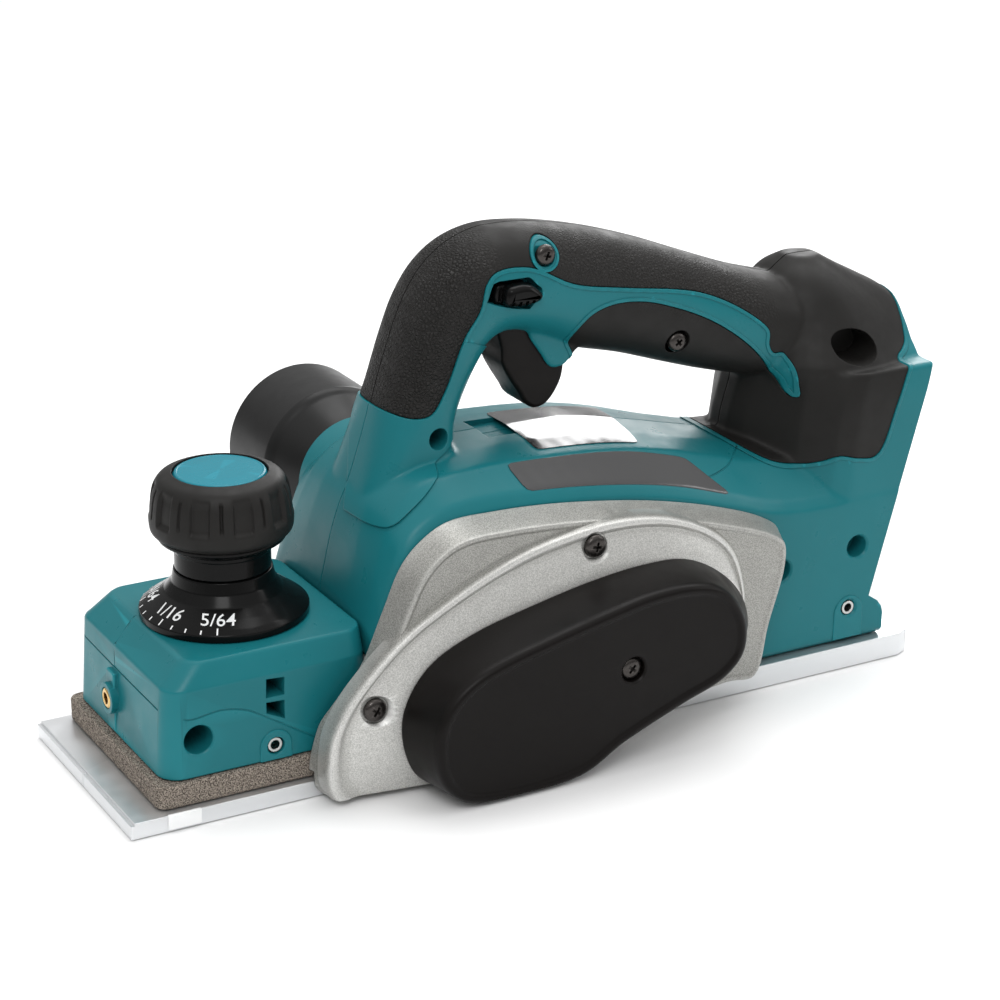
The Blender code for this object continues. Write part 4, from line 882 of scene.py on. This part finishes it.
def near_pits():
    """Round holes in the belt side of the housing."""
    return [
        pit("hole_leg", 118.2, 103.2, -19.4, 3.6, 12.0),
        pit("hole_rear", 271.5, 44.1, -38.5, 4.0, 8.0),
        pit("hole_mid", 239.8, 41.1, -38.5, 4.0, 8.0),
        pit("nut_rear_hole", REAR_NUT_X, REAR_NUT_Z, -38.5, 2.8, 9.0, 0.4),
        cylinder("frame_bore", "Y", (157.0, -60.0, 71.0), 25.0, 2.1),
    ]


def far_pits():
    return [
        join(
            cylinder("far_hole", "Y", (x, y - depth, z), depth + 30.0, radius),
            cylinder("rim", "Y", (x, y - 0.7, z), 4.0, radius, 48, radius + 4.0),
        )
        for x, z, y, radius, depth in (
            (118.2, 103.2, 19.4, 3.6, 12.0),
            (271.5, 44.1, 38.5, 4.0, 8.0),
            (239.8, 41.1, 38.5, 4.0, 8.0),
            (158.0, 71.0, 38.5, 3.6, 8.0),
            (209.0, 60.0, 38.5, 3.6, 8.0),
        )
    ]


def grip_region(name, clearance, ring):
    outline = smooth_path(UPPER_GRIP, 5, closed=True)
    region = slab(name, offset_outline(outline, clearance), -60.0, 60.0)
    return cut(region, cylinder("boss", "Y", (158.0, -61.0, 158.0), 122.0, ring - clearance, 64))


def head_hollow():
    """The slanting oval recess in the head's belt side."""
    x, z = 272.6, 114.0
    oval = arc((0.0, 0.0), 1.0, 0, 352.5, 47)
    rings = []
    for y, r in ((-60.0, 1.0), (-30.2, 1.0), (-28.5, 0.95), (-17.0, 0.90)):
        rings.append([(x + r * 9.2 * c + 0.25 * r * s, y, z + r * 6.1 * s - 1.7 * r * c) for c, s in oval])
    return loft("hollow", rings)


def mark_grain(obj):
    """Sets the leather grain's strength: full on the leg, in soft patches along the top."""
    mesh = obj.data
    count = len(mesh.vertices)
    places = np.empty(count * 3)
    mesh.vertices.foreach_get("co", places)
    places = places.reshape(-1, 3) / MM
    x, z = places[:, 0] + ORIGIN_X, places[:, 2]
    leg = np.clip((150.0 - x - 0.5 * (z - 150.0)) / 16.0, 0, 1)
    top = np.clip(1 - np.abs(z - (163.0 - 0.33 * (x - 158.0)) + 6.0) / 12.0, 0, 1)
    top *= np.clip((x - 150.0) / 20.0, 0, 1) * np.clip((250.0 - x) / 14.0, 0, 1)
    attribute = mesh.attributes.new("grain", "FLOAT", "POINT")
    attribute.data.foreach_set("value", np.maximum(leg, 0.75 * top).astype(np.float32))


def half_space(side):
    near, far = sorted((side * SEAM, side * 120.0))
    return box("half", (-20.0, near, -20.0), (420.0, far, 220.0))


def make_housing():
    form = planer_form()
    bead = keep(swollen(form, "bead", 0.35), grip_region("bead_region", 1.3, 5.6))
    outline = smooth_path(PEDESTAL_PANEL, 5, closed=True)
    near_region = [[(x, -60.0, z) for x, z in outline]]
    near_region.append([(x, 5.5 + 0.62 * (z - 95.5), z) for x, z in outline])
    panel = keep(swollen(form, "panel", 0.6), loft("near_region", near_region))
    shell = join(copy_of(form, "shell"), bead, panel)
    shell = cut(shell, grip_region("grip_space", 0.12, 5.3), *housing_cutters())

    rubber = keep(copy_of(form, "rubber"), grip_region("grip_place", -0.12, 5.4))
    rubber = cut(rubber, trigger_slot(), switch_space(), battery_bay(), behind_bay())
    rubber = cut(rubber, head_hollow())

    for side, word in ((-1, "left"), (1, "right")):
        half = keep(copy_of(shell, f"shell_{word}"), half_space(side))
        skin = keep(copy_of(rubber, f"grip_rubber_{word}"), half_space(side))
        if side < 0:
            arch = arc((268.9, 20.3), 6.0, 0, 180, 20) + [(262.9, 10.5), (274.9, 10.5)]
            half = join(half, slab("nut_arch", arch, -38.9, -34.0, 0.25))
            half = cut(half, *near_pits(), tube("foot_crease", smooth_path(FOOT_CREASE, 8), 0.35))
            for name, (x, z) in HANDLE_SCREWS.items():
                half = cut(half, cylinder(name, "Y", (x, -40.0, z), 26.4, 3.8))
                skin = cut(skin, cylinder(name, "Y", (x, -40.0, z), 34.0, 4.3))
        else:
            half = cut(half, *far_pits())
        finish(half, "housing", TEAL, "teal_nylon", f"housing_{word}")
        mark_grain(skin)
        finish(skin, "housing", SOFT_GRIP, "soft_grip", f"grip_{word}", sharp=40.0)
    discard(shell, rubber)
    make_plates(form)
    discard(form)


def make_plates(form):
    """Blank plates stuck to the shoulder and the crown."""
    regions = {
        "shoulder_plate": [(140.4, -36.4), (219, -36.4), (206, -27.8), (137.4, -27.8)],
        "top_plate": [(151.9, -22.5), (191, -22.5), (196, 14.0), (152.8, 14.0)],
    }
    for name, outline in regions.items():
        corners = []
        for i, corner in enumerate(outline):
            before, after = Vector(outline[i - 1]), Vector(outline[(i + 1) % 4])
            corner = Vector(corner)
            a = corner + (before - corner).normalized() * 2.0
            b = corner + (after - corner).normalized() * 2.0
            corners += [tuple(a), tuple((a + b + 2 * corner) / 4), tuple(b)]
        region = slab("region", corners, 60.0, 110.0, axis="Z")
        plate = keep(swollen(form, f"{name}_skin", 0.28), region)
        plate = cut(plate, swollen(form, "inner", 0.04))
        finish(plate, "housing", PLATE, "blank_plate", name)


# ---------------------------------------------------------------- front block


def make_front_block():
    rings = []
    for z, front, rear, near, far, radius in BLOCK_RINGS:
        rings.append(placed(rounded_rectangle(front, rear, near, far, radius), z, "Z"))
    block = loft("block", rings)
    lug = cylinder("lug", "X", (11.4, INSERT_Y, INSERT_Z), 9.9, 5.2)
    fin = box("fin", (12.9, 3.2, 14.5), (18.0, 9.4, 35.2), 0.6)
    arch = arc((FRONT_NUT_X, FRONT_NUT_Z), 5.4, 0, 180, 16) + [(45.2, 14.2), (56.0, 14.2)]
    arch = slab("arch", arch, -37.5, -30.0, 0.3)
    block = join(block, fin, lug, arch)
    side_line = [
        (16, -36.9, 36.2), (22, -36.8, 34), (33, -36.8, 34.9), (41, -36.8, 33.1),
        (49, -36.9, 28.4), (65, -37, 18),
    ]
    side_line = smooth_path(side_line, 8)
    front_line = smooth_path([(14.7, 37.2, 37.0), (14.7, 6, 36.4), (14.7, -30.0, 36.2)], 8)
    rib_line = [(24.0, 9.4, 51.0), (16.0, 7.0, 44.2), (15.0, 6.0, 40.0), (14.8, 5.4, 36.6)]
    rib_line = smooth_path(rib_line, 6)
    cutters = [
        tube("side_line", side_line, 0.3),
        tube("front_line", front_line, 0.3),
        tube("rib_line", rib_line, 0.25),
        cylinder("knob_bore", "Z", (KNOB_X, 0, 10.0), 50.0, 9.4),
        cylinder("hood_space", "Y", (CUTTER_X, -45, CUTTER_Z), 90.0, HOOD_OUTER, 96),
        cylinder("insert_hole", "X", (5.0, INSERT_Y, INSERT_Z), 20.0, 3.6),
        pit("side_hole", 24.9, 26.6, -37.0, 4.8, 22.0, 0.6),
        pit("nut_hole", FRONT_NUT_X, FRONT_NUT_Z, -37.5, 2.9, 8.0, 0.3),
        slab("slot_low", [(47.8, 34.1), (54.0, 33.7), (54.0, 27.4), (47.8, 30.4)], -50.0, -18.0),
        slab("slot_high", [(47.8, 35.6), (54.0, 35.6), (54.2, 41.5), (48.0, 42.0)], -50.0, -18.0),
    ]
    block = cut(block, *cutters)
    finish(block, "housing", TEAL, "teal_nylon", "front_block")

    sleeve = [(3.4, 9.0), (3.4, 0.0), (2.7, -0.4), (1.9, -0.4), (1.9, 9.0)]
    insert = turned("insert_sleeve", "X", (11.6, INSERT_Y, INSERT_Z), sleeve, 48, 0.25)
    finish(insert, "housing", BRASS, "brass", "front_insert")


def make_fence_nuts():
    for name, (x, y, z) in {
        "fence_nut_front": (FRONT_NUT_X, -36.6, FRONT_NUT_Z),
        "fence_nut_rear": (REAR_NUT_X, -38.4, REAR_NUT_Z),
    }.items():
        profile = [(2.5, 7.5), (2.5, 0.0), (1.5, 0.0), (1.5, 7.5)]
        nut = turned(f"{name}_ring", "Y", (x, y, z), profile, 40, 0.2)
        finish(nut, "housing", STEEL, "steel", name)


def make_foam():
    outline = rounded_rectangle(10.3, 83.9, -38.4, 40.0, 4.0)
    foam = slab("foam_seal", outline, 5.8, 13.7, 0.8, "Z", 4)
    hollow = slab("hollow", rounded_rectangle(16.0, 79.0, -33.0, 33.0, 3.0), 4.0, 16.0, axis="Z")
    foam = cut(foam, hollow)
    bumpy(foam, 0.16, 900.0)
    foam = finish(foam, "housing", FOAM, "foam", "dust_seal", sharp=60.0)
    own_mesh(foam)


def bumpy(obj, height, scale):
    """Adds a fine unevenness to a piece's own mesh."""
    bm = bmesh.new()
    bm.from_mesh(obj.data)
    bmesh.ops.triangulate(bm, faces=bm.faces)
    for _ in range(4):
        long_edges = [e for e in bm.edges if e.calc_length() > 1.5 * MM]
        if not long_edges:
            break
        bmesh.ops.subdivide_edges(bm, edges=long_edges, cuts=1)
        bmesh.ops.triangulate(bm, faces=bm.faces)
    bm.normal_update()
    for vert in bm.verts:
        x, y, z = vert.co * scale
        wave = math.sin(1.7 * x + 2.9 * math.sin(0.8 * z)) * math.sin(2.3 * y + 1.1 * z)
        vert.co += vert.normal * (wave - 1.0) * height * MM / 2
    bm.to_mesh(obj.data)
    bm.free()


# ---------------------------------------------------------------- side frame and belt cover


def radial(outline, centre, angles):
    """How far a closed outline lies from a centre at each angle."""
    dense = np.array(smooth_path(outline, 12, closed=True)) - np.array(centre)
    turn = np.arctan2(dense[:, 1], dense[:, 0])
    order = np.argsort(turn)
    return np.interp(angles, turn[order], np.hypot(*dense.T)[order], period=2 * np.pi)


def make_side_frame():
    back = smooth_path(FRAME_BACK_OUTLINE, 6, closed=True)
    face = smooth_path(FRAME_FACE_OUTLINE, 6, closed=True)
    steps = [
        (back, 0, -38.9), (back, 0, -39.4), (face, 0.05, -47.4), (face, -0.1, -48.2),
        (face, -0.5, -48.8), (face, -1, -49), (face, -1.6, -49), (face, -2.2, -48.7),
        (face, -2.7, -48.4),
    ]
    rings = [placed(offset_outline(outline, grow), y, "Y") for outline, grow, y in steps]
    casting = loft("casting", rings)

    centre = (150.0, 34.0)
    angles = np.linspace(-np.pi, np.pi, 240, endpoint=False)
    ridge = radial(RIDGE_OUTLINE, centre, angles)
    foot = radial(COVER_FOOT_OUTLINE, centre, angles)
    profile = [
        (0, 1.3, -44), (0, 1.2, -48.6), (0, 0.7, -50.2), (0, 0.2, -51.1), (0.02, -0.3, -51.5),
        (0.06, -0.6, -51.5), (0.1, -0.6, -51.1), (0.14, -0.6, -50.7), (0.2, -0.5, -50.7),
        (0.32, -0.4, -51.3), (0.55, -0.2, -52.5), (0.8, 0, -53.5), (1, 0, -54), (1, -3, -54),
    ]
    rings = []
    for t, extra, y in profile:
        reach = ridge * (1 - t) + foot * t + extra
        xs, zs = centre[0] + reach * np.cos(angles), centre[1] + reach * np.sin(angles)
        rings.append([(x, y, z) for x, z in zip(xs, zs)])
    casting = join(casting, loft("pad", rings))
    cutters = [
        box("underside", (40.0, -60.0, -5.0), (240.0, -30.0, 2.0)),
        box("base_relief", (40.0, -BASE_HALF_WIDTH - 0.35, -5.0), (320.0, -30.0, 9.0)),
        cylinder("drum_end", "Y", (CUTTER_X, -41.8, CUTTER_Z), 10.0, DRUM_WAY, 96),
        cylinder("drum_seat", "Y", (CUTTER_X, -50.0, CUTTER_Z), 10.0, 14.3),
        cylinder("drum_way", "Y", (CUTTER_X, -60.0, CUTTER_Z), 20.0, 9.5),
        cylinder("motor_seat", "Y", (MOTOR_X, -48.0, MOTOR_Z), 12.0, 11.3),
        cylinder("motor_way", "Y", (MOTOR_X, -60.0, MOTOR_Z), 30.0, 6.5),
        cylinder("cover_bore", "Y", (COVER_SCREW_X, -60.0, COVER_SCREW_Z), 22.0, 2.2),
    ]
    for x, z in FRAME_SCREWS.values():
        cutters.append(cylinder("seat", "Y", (x, -60.0, z), 9.4, 4.6))
        cutters.append(cylinder("rim", "Y", (x, -54.6, z), 3.2, 6.8, 48, 4.4))
        cutters.append(cylinder("bore", "Y", (x, -60.0, z), 30.0, 2.2))
    casting = cut(casting, *cutters)
    finish(casting, "housing", SILVER, "silver_paint", "side_frame")


def make_belt_cover():
    foot = smooth_path(COVER_FOOT_OUTLINE, 7, closed=True)
    face = smooth_path(COVER_FACE_OUTLINE, 7, closed=True)
    steps = [
        (foot, -2.6, -54.3), (foot, 0, -54.3), (foot, 0, -55.2), (face, 0.3, -69.8),
        (face, 0.1, -71.2), (face, -0.4, -72.2), (face, -1.1, -72.8), (face, -1.8, -73),
        (face, -2.5, -73), (face, -3, -72.8), (face, -3.5, -72.3), (face, -4.2, -72.1),
    ]
    rings = [placed(offset_outline(outline, grow), y, "Y") for outline, grow, y in steps]
    cover = loft("cover", rings)
    hollow = [
        placed(offset_outline(foot, -3.4), -50.0, "Y"),
        placed(offset_outline(face, -3.6), -70.2, "Y"),
    ]
    post = cylinder("post", "Y", (COVER_SCREW_X, -71.5, COVER_SCREW_Z), 17.0, 5.6)
    cover = join(cut(cover, loft("hollow", hollow)), post)
    cover = cut(
        cover,
        box("underside", (40.0, -80.0, -5.0), (240.0, -30.0, 1.6)),
        cylinder("screw_seat", "Y", (COVER_SCREW_X, -76.0, COVER_SCREW_Z), 6.9, 4.3),
        cylinder("screw_rim", "Y", (COVER_SCREW_X, -73.6, COVER_SCREW_Z), 2.2, 6.3, 48, 4.2),
        cylinder("screw_way", "Y", (COVER_SCREW_X, -76.0, COVER_SCREW_Z), 30.0, 2.2),
    )
    finish(cover, "housing", BLACK, "black_nylon", "belt_cover")


# ---------------------------------------------------------------- screws


def make_screw(name, x, y, z, radius, shank, turn):
    """A cross-recess pan-head screw driven along +Y, with its crown at y."""
    dome = [(0.0, 0.0), (0.4, 0.02), (0.62, 0.16), (0.82, 0.42), (0.95, 0.85), (1.0, 1.4)]
    profile = [(0.0, shank), (1.6, shank), (1.6, 2.3), (radius, 2.3)]
    profile += [(radius * r, h) for r, h in reversed(dome)]
    screw = turned(f"{name}_head", "Y", (x, y, z), profile, 64, 0.0)
    for quarter in (0, 90):
        wide, narrow, high, deep = 0.54 * radius, 0.18 * radius, y - 0.6, y + 1.7
        outline = [(x - wide, high), (x + wide, high), (x + narrow, deep), (x - narrow, deep)]
        slot = slab("slot", outline, z - 0.42, z + 0.42, axis="Z")
        centre = at(x, y, z)
        spin = Matrix.Rotation(math.radians(turn + quarter), 4, "Y")
        slot.data.transform(Matrix.Translation(centre) @ spin @ Matrix.Translation(-centre))
        screw = cut(screw, slot)
    finish(screw, "housing", DARK_STEEL, "dark_steel", name)


def make_screws():
    for turn, (name, (x, z)) in zip((20, 55), HANDLE_SCREWS.items()):
        make_screw(name, x, -17.4, z, 3.4, 25.0, turn)
    for turn, (name, (x, z)) in zip((10, 35), FRAME_SCREWS.items()):
        make_screw(name, x, -53.4, z, 3.9, 15.0, turn)
    make_screw("belt_cover_screw", COVER_SCREW_X, -71.3, COVER_SCREW_Z, 3.8, 23.0, 40)


# ---------------------------------------------------------------- chip outlet


def make_chip_outlet():
    axis = (NOZZLE_X, 0, NOZZLE_Z)
    ring = [(21.5, 44.8), (21.5, 31.0), (17.0, 31.0), (17.0, 44.8)]
    collar = cut(
        turned("outlet_collar", "Y", axis, ring, 96, 0.6),
        box("inside_housing", (80.0, 20.0, 30.0), (150.0, 38.8, 66.0)),
        cylinder("drum_way", "Y", (CUTTER_X, 20.0, CUTTER_Z), 21.3, DRUM_WAY, 96),
    )
    finish(collar, "housing", TEAL, "teal_nylon", "chip_cover")
    profile = [
        (27, 90), (27, 61), (26.3, 59.6), (24.9, 58), (19.5, 45.4), (16.7, 45.2), (16.7, 41.6),
        (14.6, 41.6), (14.6, 46), (24.4, 61.5), (24.4, 90),
    ]
    spigot = turned("outlet_spigot", "Y", axis, profile, 128, 0.7)
    finish(spigot, "housing", SATIN_BLACK, "black_nylon", "chip_nozzle")


# ---------------------------------------------------------------- soles


def make_front_base():
    outline = [(0.0, -41.0), (100.5, -41.0), (100.5, 41.0), (0.0, 41.0)]
    base = slab("front_sole", outline, 0.0, 5.5, 0.35, "Z", 2)
    groove = slab("groove", [(-6.0, -1.4), (1.6, 0.0), (-6.0, 1.4)], -2.0, 12.0, axis="Z")
    base = cut(
        base,
        cylinder("drum_way", "Y", (CUTTER_X, -50.0, CUTTER_Z - 1.984), 100.0, DRUM_WAY, 96),
        groove,
        box("lead_in", (-5.0, -50.0, 4.6), (1.2, 50.0, 9.0)),
    )
    finish(base, "front_base", ALUMINIUM, "aluminium", "front_base")
    # Painted highlight: a thin pale sheet on the base's near side stands in for a glint on the aluminium.
    clip = box("sole_painted_glint", (12.0, -41.9, 1.0), (23.0, -40.8, 5.9), 0.25)
    finish(clip, "front_base", PRINT, "aluminium")


def make_spring():
    """The coil over the knob's post; in the tool it shortens as the front base rises, here it has one
    fixed length.
    """
    wire, radius, low, high, turns, steps = 0.8, 8.6, 9.0, 15.0, 3, 144
    path = []
    for i in range(steps + 1):
        angle = 2 * math.pi * turns * i / steps
        height = low + (high - low) * i / steps
        path.append((KNOB_X + radius * math.cos(angle), radius * math.sin(angle), height))
    coil = tube("spring_coil", path, wire, 12)
    coil = finish(coil, "housing", STEEL, "steel", "base_spring")
    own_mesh(coil)


def make_rear_base():
    outline = [(125.5, -41.0), (290.0, -41.0), (294.5, -39.0), (296.4, -36.0), (297.0, -32.0)]
    outline += [(x, -y) for x, y in reversed(outline)]
    base = slab("rear_sole", outline, 0.0, 8.5, 0.5, "Z", 2)
    x, _, z = station("foot_fold")
    base = cut(
        base,
        cylinder("drum_way", "Y", (CUTTER_X, -50.0, CUTTER_Z), 100.0, DRUM_WAY, 96),
        box("foot_slot", (x - 4.6, -7.3, -2.0), (x + 20.5, 7.3, 12.0)),
        cylinder("foot_bore", "Y", (x, -14.0, z), 28.0, 1.75),
    )
    finish(base, "housing", ALUMINIUM, "aluminium", "rear_base")


# ---------------------------------------------------------------- depth knob


def make_knob():
    centre = (KNOB_X, 0, 0)
    body_profile = [
        (0, 96.9), (14.8, 96.9), (14.8, 94.2), (18, 94.2), (18, 78.2), (20.4, 78.2), (20.4, 77),
        (18, 75.4), (15.6, 74.4), (15.6, 73.2), (15.4, 72.8), (15.4, 66.8), (12.7, 66.8),
        (12.7, 51.5), (9, 51.5), (9, 30), (0, 30),
    ]
    stem = turned("knob_stem", "Z", centre, body_profile, 96, 0.5)
    stem = cut(stem, cylinder("post_way", "Z", (KNOB_X, 0, 25.0), 33.0, 6.4))
    finish(stem, "depth_knob", GLOSS_BLACK, "black_nylon", "knob_body")

    outer = [
        (15.2, 98.7), (19.3, 97), (21.5, 93.6), (22.6, 88), (22.9, 82.5), (22.4, 79.9),
        (21, 78.5),
    ]
    profile = smooth_path(outer, 9) + [(18.3, 78.5), (18.3, 94.6), (15.2, 94.6)]

    def grip_shape(radius, height, angle):
        if radius < 18.4 or height > 97.4:
            return radius
        turn = (angle * RIBS / (2 * math.pi) - SLOT_PHASE) % 1.0
        side = min(turn, 1.0 - turn)
        pocket = smoothstep(side, 0.25, 0.31)
        band = smoothstep(height, 84.3, 85.3) * (1 - smoothstep(height, 92.5, 96.5))
        slot = 1 - smoothstep(side, 0.018, 0.045)
        slot_band = smoothstep(height, 85.6, 86.2) * (1 - smoothstep(height, 94.2, 95.2))
        return radius - 1.2 * pocket * band - 0.9 * slot * slot_band

    grip = turned("knob_rubber", "Z", centre, profile, 480, 0.0, grip_shape)
    finish(grip, "depth_knob", SOFT_GRIP, "soft_grip", "knob_grip", sharp=50.0)
    cap_profile = [
        (0, 98.95), (9, 98.85), (13.4, 98.5), (13.7, 98.7), (14.3, 98.5), (14.9, 97.6),
        (14.9, 97.2), (0, 97.2),
    ]
    cap = turned("knob_button", "Z", centre, cap_profile, 96, 0.2)
    finish(cap, "depth_knob", CAP_BLUE, "cap_blue", "knob_cap")
    make_dial(centre)


DIAL_PROFILE = [
    (15.8, 66.5), (16.6, 62.6), (19, 59.4), (22.5, 56.9), (25.5, 54.9), (27.2, 53.6),
    (27.2, DIAL_BASE), (13, DIAL_BASE), (13, 66.5),
]


def dial_radius_height(travel):
    """A point on the dial's flared face, by distance up from its lower rim."""
    faces = DIAL_PROFILE[5::-1]
    for (r0, z0), (r1, z1) in zip(faces, faces[1:]):
        length = math.hypot(r1 - r0, z1 - z0)
        if travel <= length or (r1, z1) == faces[-1]:
            t = travel / length
            nx, nz = (z1 - z0) / length, (r0 - r1) / length
            return r0 + (r1 - r0) * t + MARK_LIFT * nx, z0 + (z1 - z0) * t + MARK_LIFT * nz
        travel -= length
    return faces[-1]


def on_dial(angle, along, travel):
    """Maps a flat point beside a mark to the dial: along is sideways, travel is up the face."""
    radius, height = dial_radius_height(max(travel, 0.0))
    turn = angle + along / radius
    return at(KNOB_X + radius * math.cos(turn), radius * math.sin(turn), height)


def make_dial(centre):
    dial = turned("dial_ring", "Z", centre, DIAL_PROFILE, 128, 0.35)
    finish(dial, "depth_knob", GLOSS_BLACK, "black_nylon", "depth_dial", sharp=60.0)
    make_dial_marks(zero=math.radians(16.7), step=math.radians(45.0))


def make_dial_marks(zero, step):
    """White ticks and fractions bent round the dial's flare."""
    bm = bmesh.new()
    for tick in range(21):
        angle = zero + step * tick / 4
        tall = 2.9 if tick % 4 == 0 else 1.9
        corners = ((-0.24, 0.5), (0.24, 0.5), (0.24, tall), (-0.24, tall))
        bm.faces.new([bm.verts.new(on_dial(angle, *corner)) for corner in corners])
    for number, word in enumerate(("0", "1/64", "1/32", "3/64", "1/16", "5/64")):
        curve = bpy.data.curves.new("figure", "FONT")
        curve.body = word
        curve.size = 6.4
        curve.offset = 0.03
        curve.align_x = "CENTER"
        curve.resolution_u = 3
        text = applied(add_object("figure", curve))
        angle = zero + step * number
        source = bmesh.new()
        source.from_mesh(text.data)
        bmesh.ops.triangulate(source, faces=source.faces)
        cuts = [e for e in source.edges if e.calc_length() > 0.5]
        bmesh.ops.subdivide_edges(source, edges=cuts, cuts=2)
        bmesh.ops.triangulate(source, faces=source.faces)
        made = {v: bm.verts.new(on_dial(angle, v.co.x, v.co.y + 3.8)) for v in source.verts}
        for face in source.faces:
            bm.faces.new([made[v] for v in face.verts])
        source.free()
        discard(text)
    print_mesh = mesh_from("dial_marks", bm)
    thick = print_mesh.modifiers.new("thick", "SOLIDIFY")
    thick.thickness = 0.05 * MM
    thick.offset = -1.0
    marks = applied(print_mesh)
    finish(marks, "depth_knob", PRINT, "black_nylon")


# ---------------------------------------------------------------- controls


def make_trigger():
    outline = smooth_path(TRIGGER_OUTLINE, 6, closed=True)
    trigger = slab("trigger_lever", outline, -8.1, 8.1, 1.6, "Y", 5)
    trigger = cut(trigger, cylinder("bore", "Y", (TRIGGER_X, -10, TRIGGER_Z), 20.0, 1.75))
    finish(trigger, "trigger", BLACK, "black_nylon", "trigger")


def make_lock_off():
    stem = [
        (139.9, 144.2), (140.6, 150), (146, 150.3), (150.6, 150.2), (151.8, 148.4),
        (151.6, 144.6), (150.6, 143.8), (141, 143.7),
    ]
    cap = [
        (141.8, 144.6), (142.4, 149.6), (146, 150.6), (150.6, 150.2), (153.8, 148),
        (155.2, 146.2), (154.6, 144.8), (150.6, 143.4), (144, 143.7),
    ]
    stem, cap = (smooth_path(outline, 4, closed=True) for outline in (stem, cap))
    button = slab("safety_button", stem, -16.0, 8.4, 1.2, "Y", 4)
    button = join(button, slab("cap", cap, -21.2, -14.8, 2.4, "Y", 8))
    grooves = [
        box("groove", (x, -22.0, 142.0), (x + 1.1, -18.0, 145.4)) for x in (143.4, 145.8, 148.2, 150.6)
    ]
    finish(cut(button, *grooves), "lock_off", GLOSS_BLACK, "black_nylon", "lock_off_button")


# ---------------------------------------------------------------- carried-over nodes


def finish_cad_nodes():
    looks = (
        (ALUMINIUM, "main_frame drum"),
        (STEEL, "base_post blade_front blade_rear drum_bearing_near drum_bearing_far motor_can"),
        (STEEL, "motor_bearing_near motor_bearing_far armature trigger_pin foot_pin"),
        (DARK_STEEL, "clamp_plate_front clamp_plate_rear drum_pulley motor_pulley"),
        (BELT_RUBBER, "belt"),
        (BLACK, "motor_end_bell fan foot switch_body terminal_block"),
        (BRASS, "brush_holder_front brush_holder_rear terminal_negative terminal_positive"),
        (COPPER, "commutator"),
    )
    for material, names in looks:
        for name in names.split():
            obj = frame["nodes"][name]
            obj.data.materials.clear()
            obj.data.materials.append(material)


# ---------------------------------------------------------------- stage


def make_stage():
    floor_graph = Graph("studio_floor")
    tone = floor_graph.mix(floor_graph.noise(4.0, 2.0), (0.86, 0.86, 0.86), (0.90, 0.90, 0.90))
    floor_graph.link(tone, floor_graph.shader.inputs["Base Color"])
    floor_graph.shader.inputs["Roughness"].default_value = 0.9
    half, level = 6.0, -0.0003
    mesh = bpy.data.meshes.new("floor")
    corners = [(-half, -half), (half, -half), (half, half), (-half, half)]
    mesh.from_pydata([(x, y, level) for x, y in corners], [], [(0, 1, 2, 3)])
    mesh.materials.append(floor_graph.material)
    add_object("floor", mesh)

    world = bpy.data.worlds.new("studio")
    world.use_nodes = True
    nodes, links = world.node_tree.nodes, world.node_tree.links
    direction = nodes.new("ShaderNodeTexCoord")
    split = nodes.new("ShaderNodeSeparateXYZ")
    nodes["Background"].inputs["Color"].default_value = (1.0, 1.0, 1.0, 1.0)
    ramp = nodes.new("ShaderNodeMapRange")
    ramp.interpolation_type = "SMOOTHSTEP"
    for socket, number in zip(ramp.inputs[1:5], (0.05, 0.85, 0.30, 1.10)):
        socket.default_value = number
    links.new(direction.outputs["Generated"], split.inputs["Vector"])
    links.new(split.outputs["Z"], ramp.inputs["Value"])
    links.new(ramp.outputs["Result"], nodes["Background"].inputs["Strength"])
    bpy.context.scene.world = world

    target = Vector((-0.06, 0.0, 0.06))
    for name, place, size, power in (
        ("key", (-0.55, -0.75, 0.95), 0.45, 3.6),
        ("top", (0.15, 0.25, 1.15), 0.7, 5.0),
        ("right", (0.95, -0.5, 0.55), 0.45, 1.6),
        ("back", (0.76, 0.85, 0.52), 0.5, 4.0),
        ("shoulder", (0.80, 0.14, 1.08), 0.34, 1.8),
    ):
        light = bpy.data.lights.new(name, "AREA")
        light.shape = "SQUARE"
        light.size = size
        light.energy = power
        lamp = bpy.data.objects.new(name, light)
        lamp.location = place
        lamp.rotation_euler = (Vector(place) - target).to_track_quat("Z", "Y").to_euler()
        bpy.context.scene.collection.objects.link(lamp)
    bpy.context.scene.view_settings.view_transform = "Standard"


def make_camera():
    azimuth, elevation, roll = (math.radians(a) for a in (-29.31, 21.09, 0.43))
    back = Vector(
        (
            math.sin(azimuth) * math.cos(elevation),
            -math.cos(azimuth) * math.cos(elevation),
            math.sin(elevation),
        )
    )
    right = Vector((math.cos(azimuth), math.sin(azimuth), 0))
    up = back.cross(right)
    right, up = (
        right * math.cos(roll) + up * math.sin(roll),
        up * math.cos(roll) - right * math.sin(roll),
    )
    data = bpy.data.cameras.new("camera")
    data.lens = 97.2
    data.sensor_width = 36.0
    data.clip_start = 0.01
    camera = bpy.data.objects.new("camera", data)
    turn = Matrix((right, up, back)).transposed().to_4x4()
    camera.matrix_world = Matrix.Translation((-0.4717, -0.7334, 0.3946)) @ turn
    bpy.context.scene.collection.objects.link(camera)
    bpy.context.scene.camera = camera


def main():
    make_camera()
    make_stage()
    make_housing()
    make_front_block()
    make_fence_nuts()
    make_foam()
    make_side_frame()
    make_belt_cover()
    make_screws()
    make_chip_outlet()
    make_front_base()
    make_spring()
    make_rear_base()
    make_knob()
    make_trigger()
    make_lock_off()
    finish_cad_nodes()


main()
